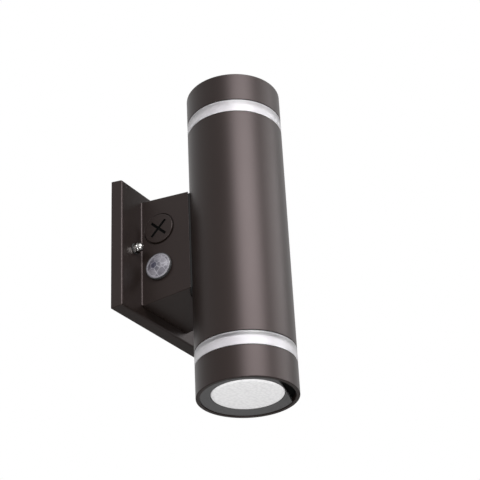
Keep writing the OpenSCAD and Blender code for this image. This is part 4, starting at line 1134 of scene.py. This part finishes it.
def laid(name, node, radius, colour, routes):
    """Round leads along their routes, in mm, in place of a node's simple ones."""
    low, high = (tuple(c * k for c in colour) for k in (0.85, 1.15))
    mesh = bpy.data.meshes.new("routes")
    points, edges = [], []
    for points_of_one in routes:
        one = bent(points_of_one)
        edges += [(len(points) + k, len(points) + k + 1) for k in range(len(one) - 1)]
        points += [point * MM for point in one]
    mesh.from_pydata(points, edges, [])
    paths = added("routes", mesh)
    insulation = moulded(name + "_insulation", low, high,
                         rough=0.40, grain_mm=0.8, depth_mm=0.02)
    leads = smoothed(grown(name, lead_laying, {
        "Route": paths, "Radius": radius * MM, "Material": insulation}))
    bpy.data.objects.remove(paths)
    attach(leads, "fixture")
    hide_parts(node)


driver_w, driver_d, driver_half_l = 40, 28, 58
bracket_out = 14.7
riser_step = 2.8


def to_driver(place, riser_x):
    """Through the grommet at [x, z], up behind the bracket and down into the driver's top."""
    x, z = place
    riser_y, over_z = -61.1, 75.0
    return [(x, -34.8, z), (x, -51.3, z), (riser_x, riser_y, z), (riser_x, riser_y, over_z),
            (riser_x, -axis_out, over_z), (riser_x, -axis_out, driver_half_l + 0.2)]


supply_routes = []
for i, (place, riser) in enumerate(zip(((-1.4, 2.7), (0.3, 0.2), (1.4, 2.7)), (-1, 0, 1))):
    side = 3.6 * (i - 1)
    supply_routes.append([(14 + side, -3.8, 17.6), (14 + side, -3.8, 14), (3 + side, -5.4, 4.8),
                          (3 + side, -13.4, 4.8)] + to_driver(place, riser * riser_step))
laid("supply_wires", "supply_leads", supply_r, (0.012, 0.012, 0.012), supply_routes)

cell_routes = []
for i, (fan, place, riser) in enumerate(zip(
        ((1.5, -0.9), (-1.5, -0.9), (0, 1.7)), ((-2, -2.4), (0.2, -3), (2.4, -1.9)), (-3, 2, 3))):
    cell_routes.append([cell_place @ Vector((*fan, -19.2)),
                        cell_place @ Vector((*fan, -24 - 2 * i))]
                       + to_driver(place, riser * riser_step))
laid("photocell_wires", "photocell_leads", lead_r, (0.30, 0.015, 0.012), cell_routes)

laid("selector_wires", "selector_leads", lead_r, (0.02, 0.04, 0.28), [
    [plug_place @ Vector((-9, 0, -15.6)), plug_place @ Vector((-9, 0, -19.4))]
    + to_driver((-2.9, 0.2), -2 * riser_step)])

lamp_routes = []
start_y, lead_y = bracket_out - driver_d + lead_bend, -12
side_x, turn_z, board_z = driver_w / 2 + 5, driver_half_l + 13, 102.4
for pair in (-0.9, 0.9):
    for route in (
            [(pair, start_y, -driver_half_l - 0.2), (pair, start_y, -turn_z),
             (pair, lead_y, -turn_z - 6), (pair, lead_y, -board_z - lead_r)],
            [(-6, start_y + pair, -driver_half_l - 0.2),
             (-6, start_y + pair, pair - driver_half_l - 5),
             (-side_x - pair, start_y + pair, pair - driver_half_l - 5),
             (-side_x - pair, start_y + pair, turn_z + 3 + pair),
             (-pair, lead_y, turn_z + 7 + pair), (-pair, lead_y, board_z + lead_r)]):
        lamp_routes.append([(x, y - axis_out, z) for x, y, z in route])
laid("lamp_wires", "led_leads", lead_r, (0.45, 0.45, 0.43), lamp_routes)
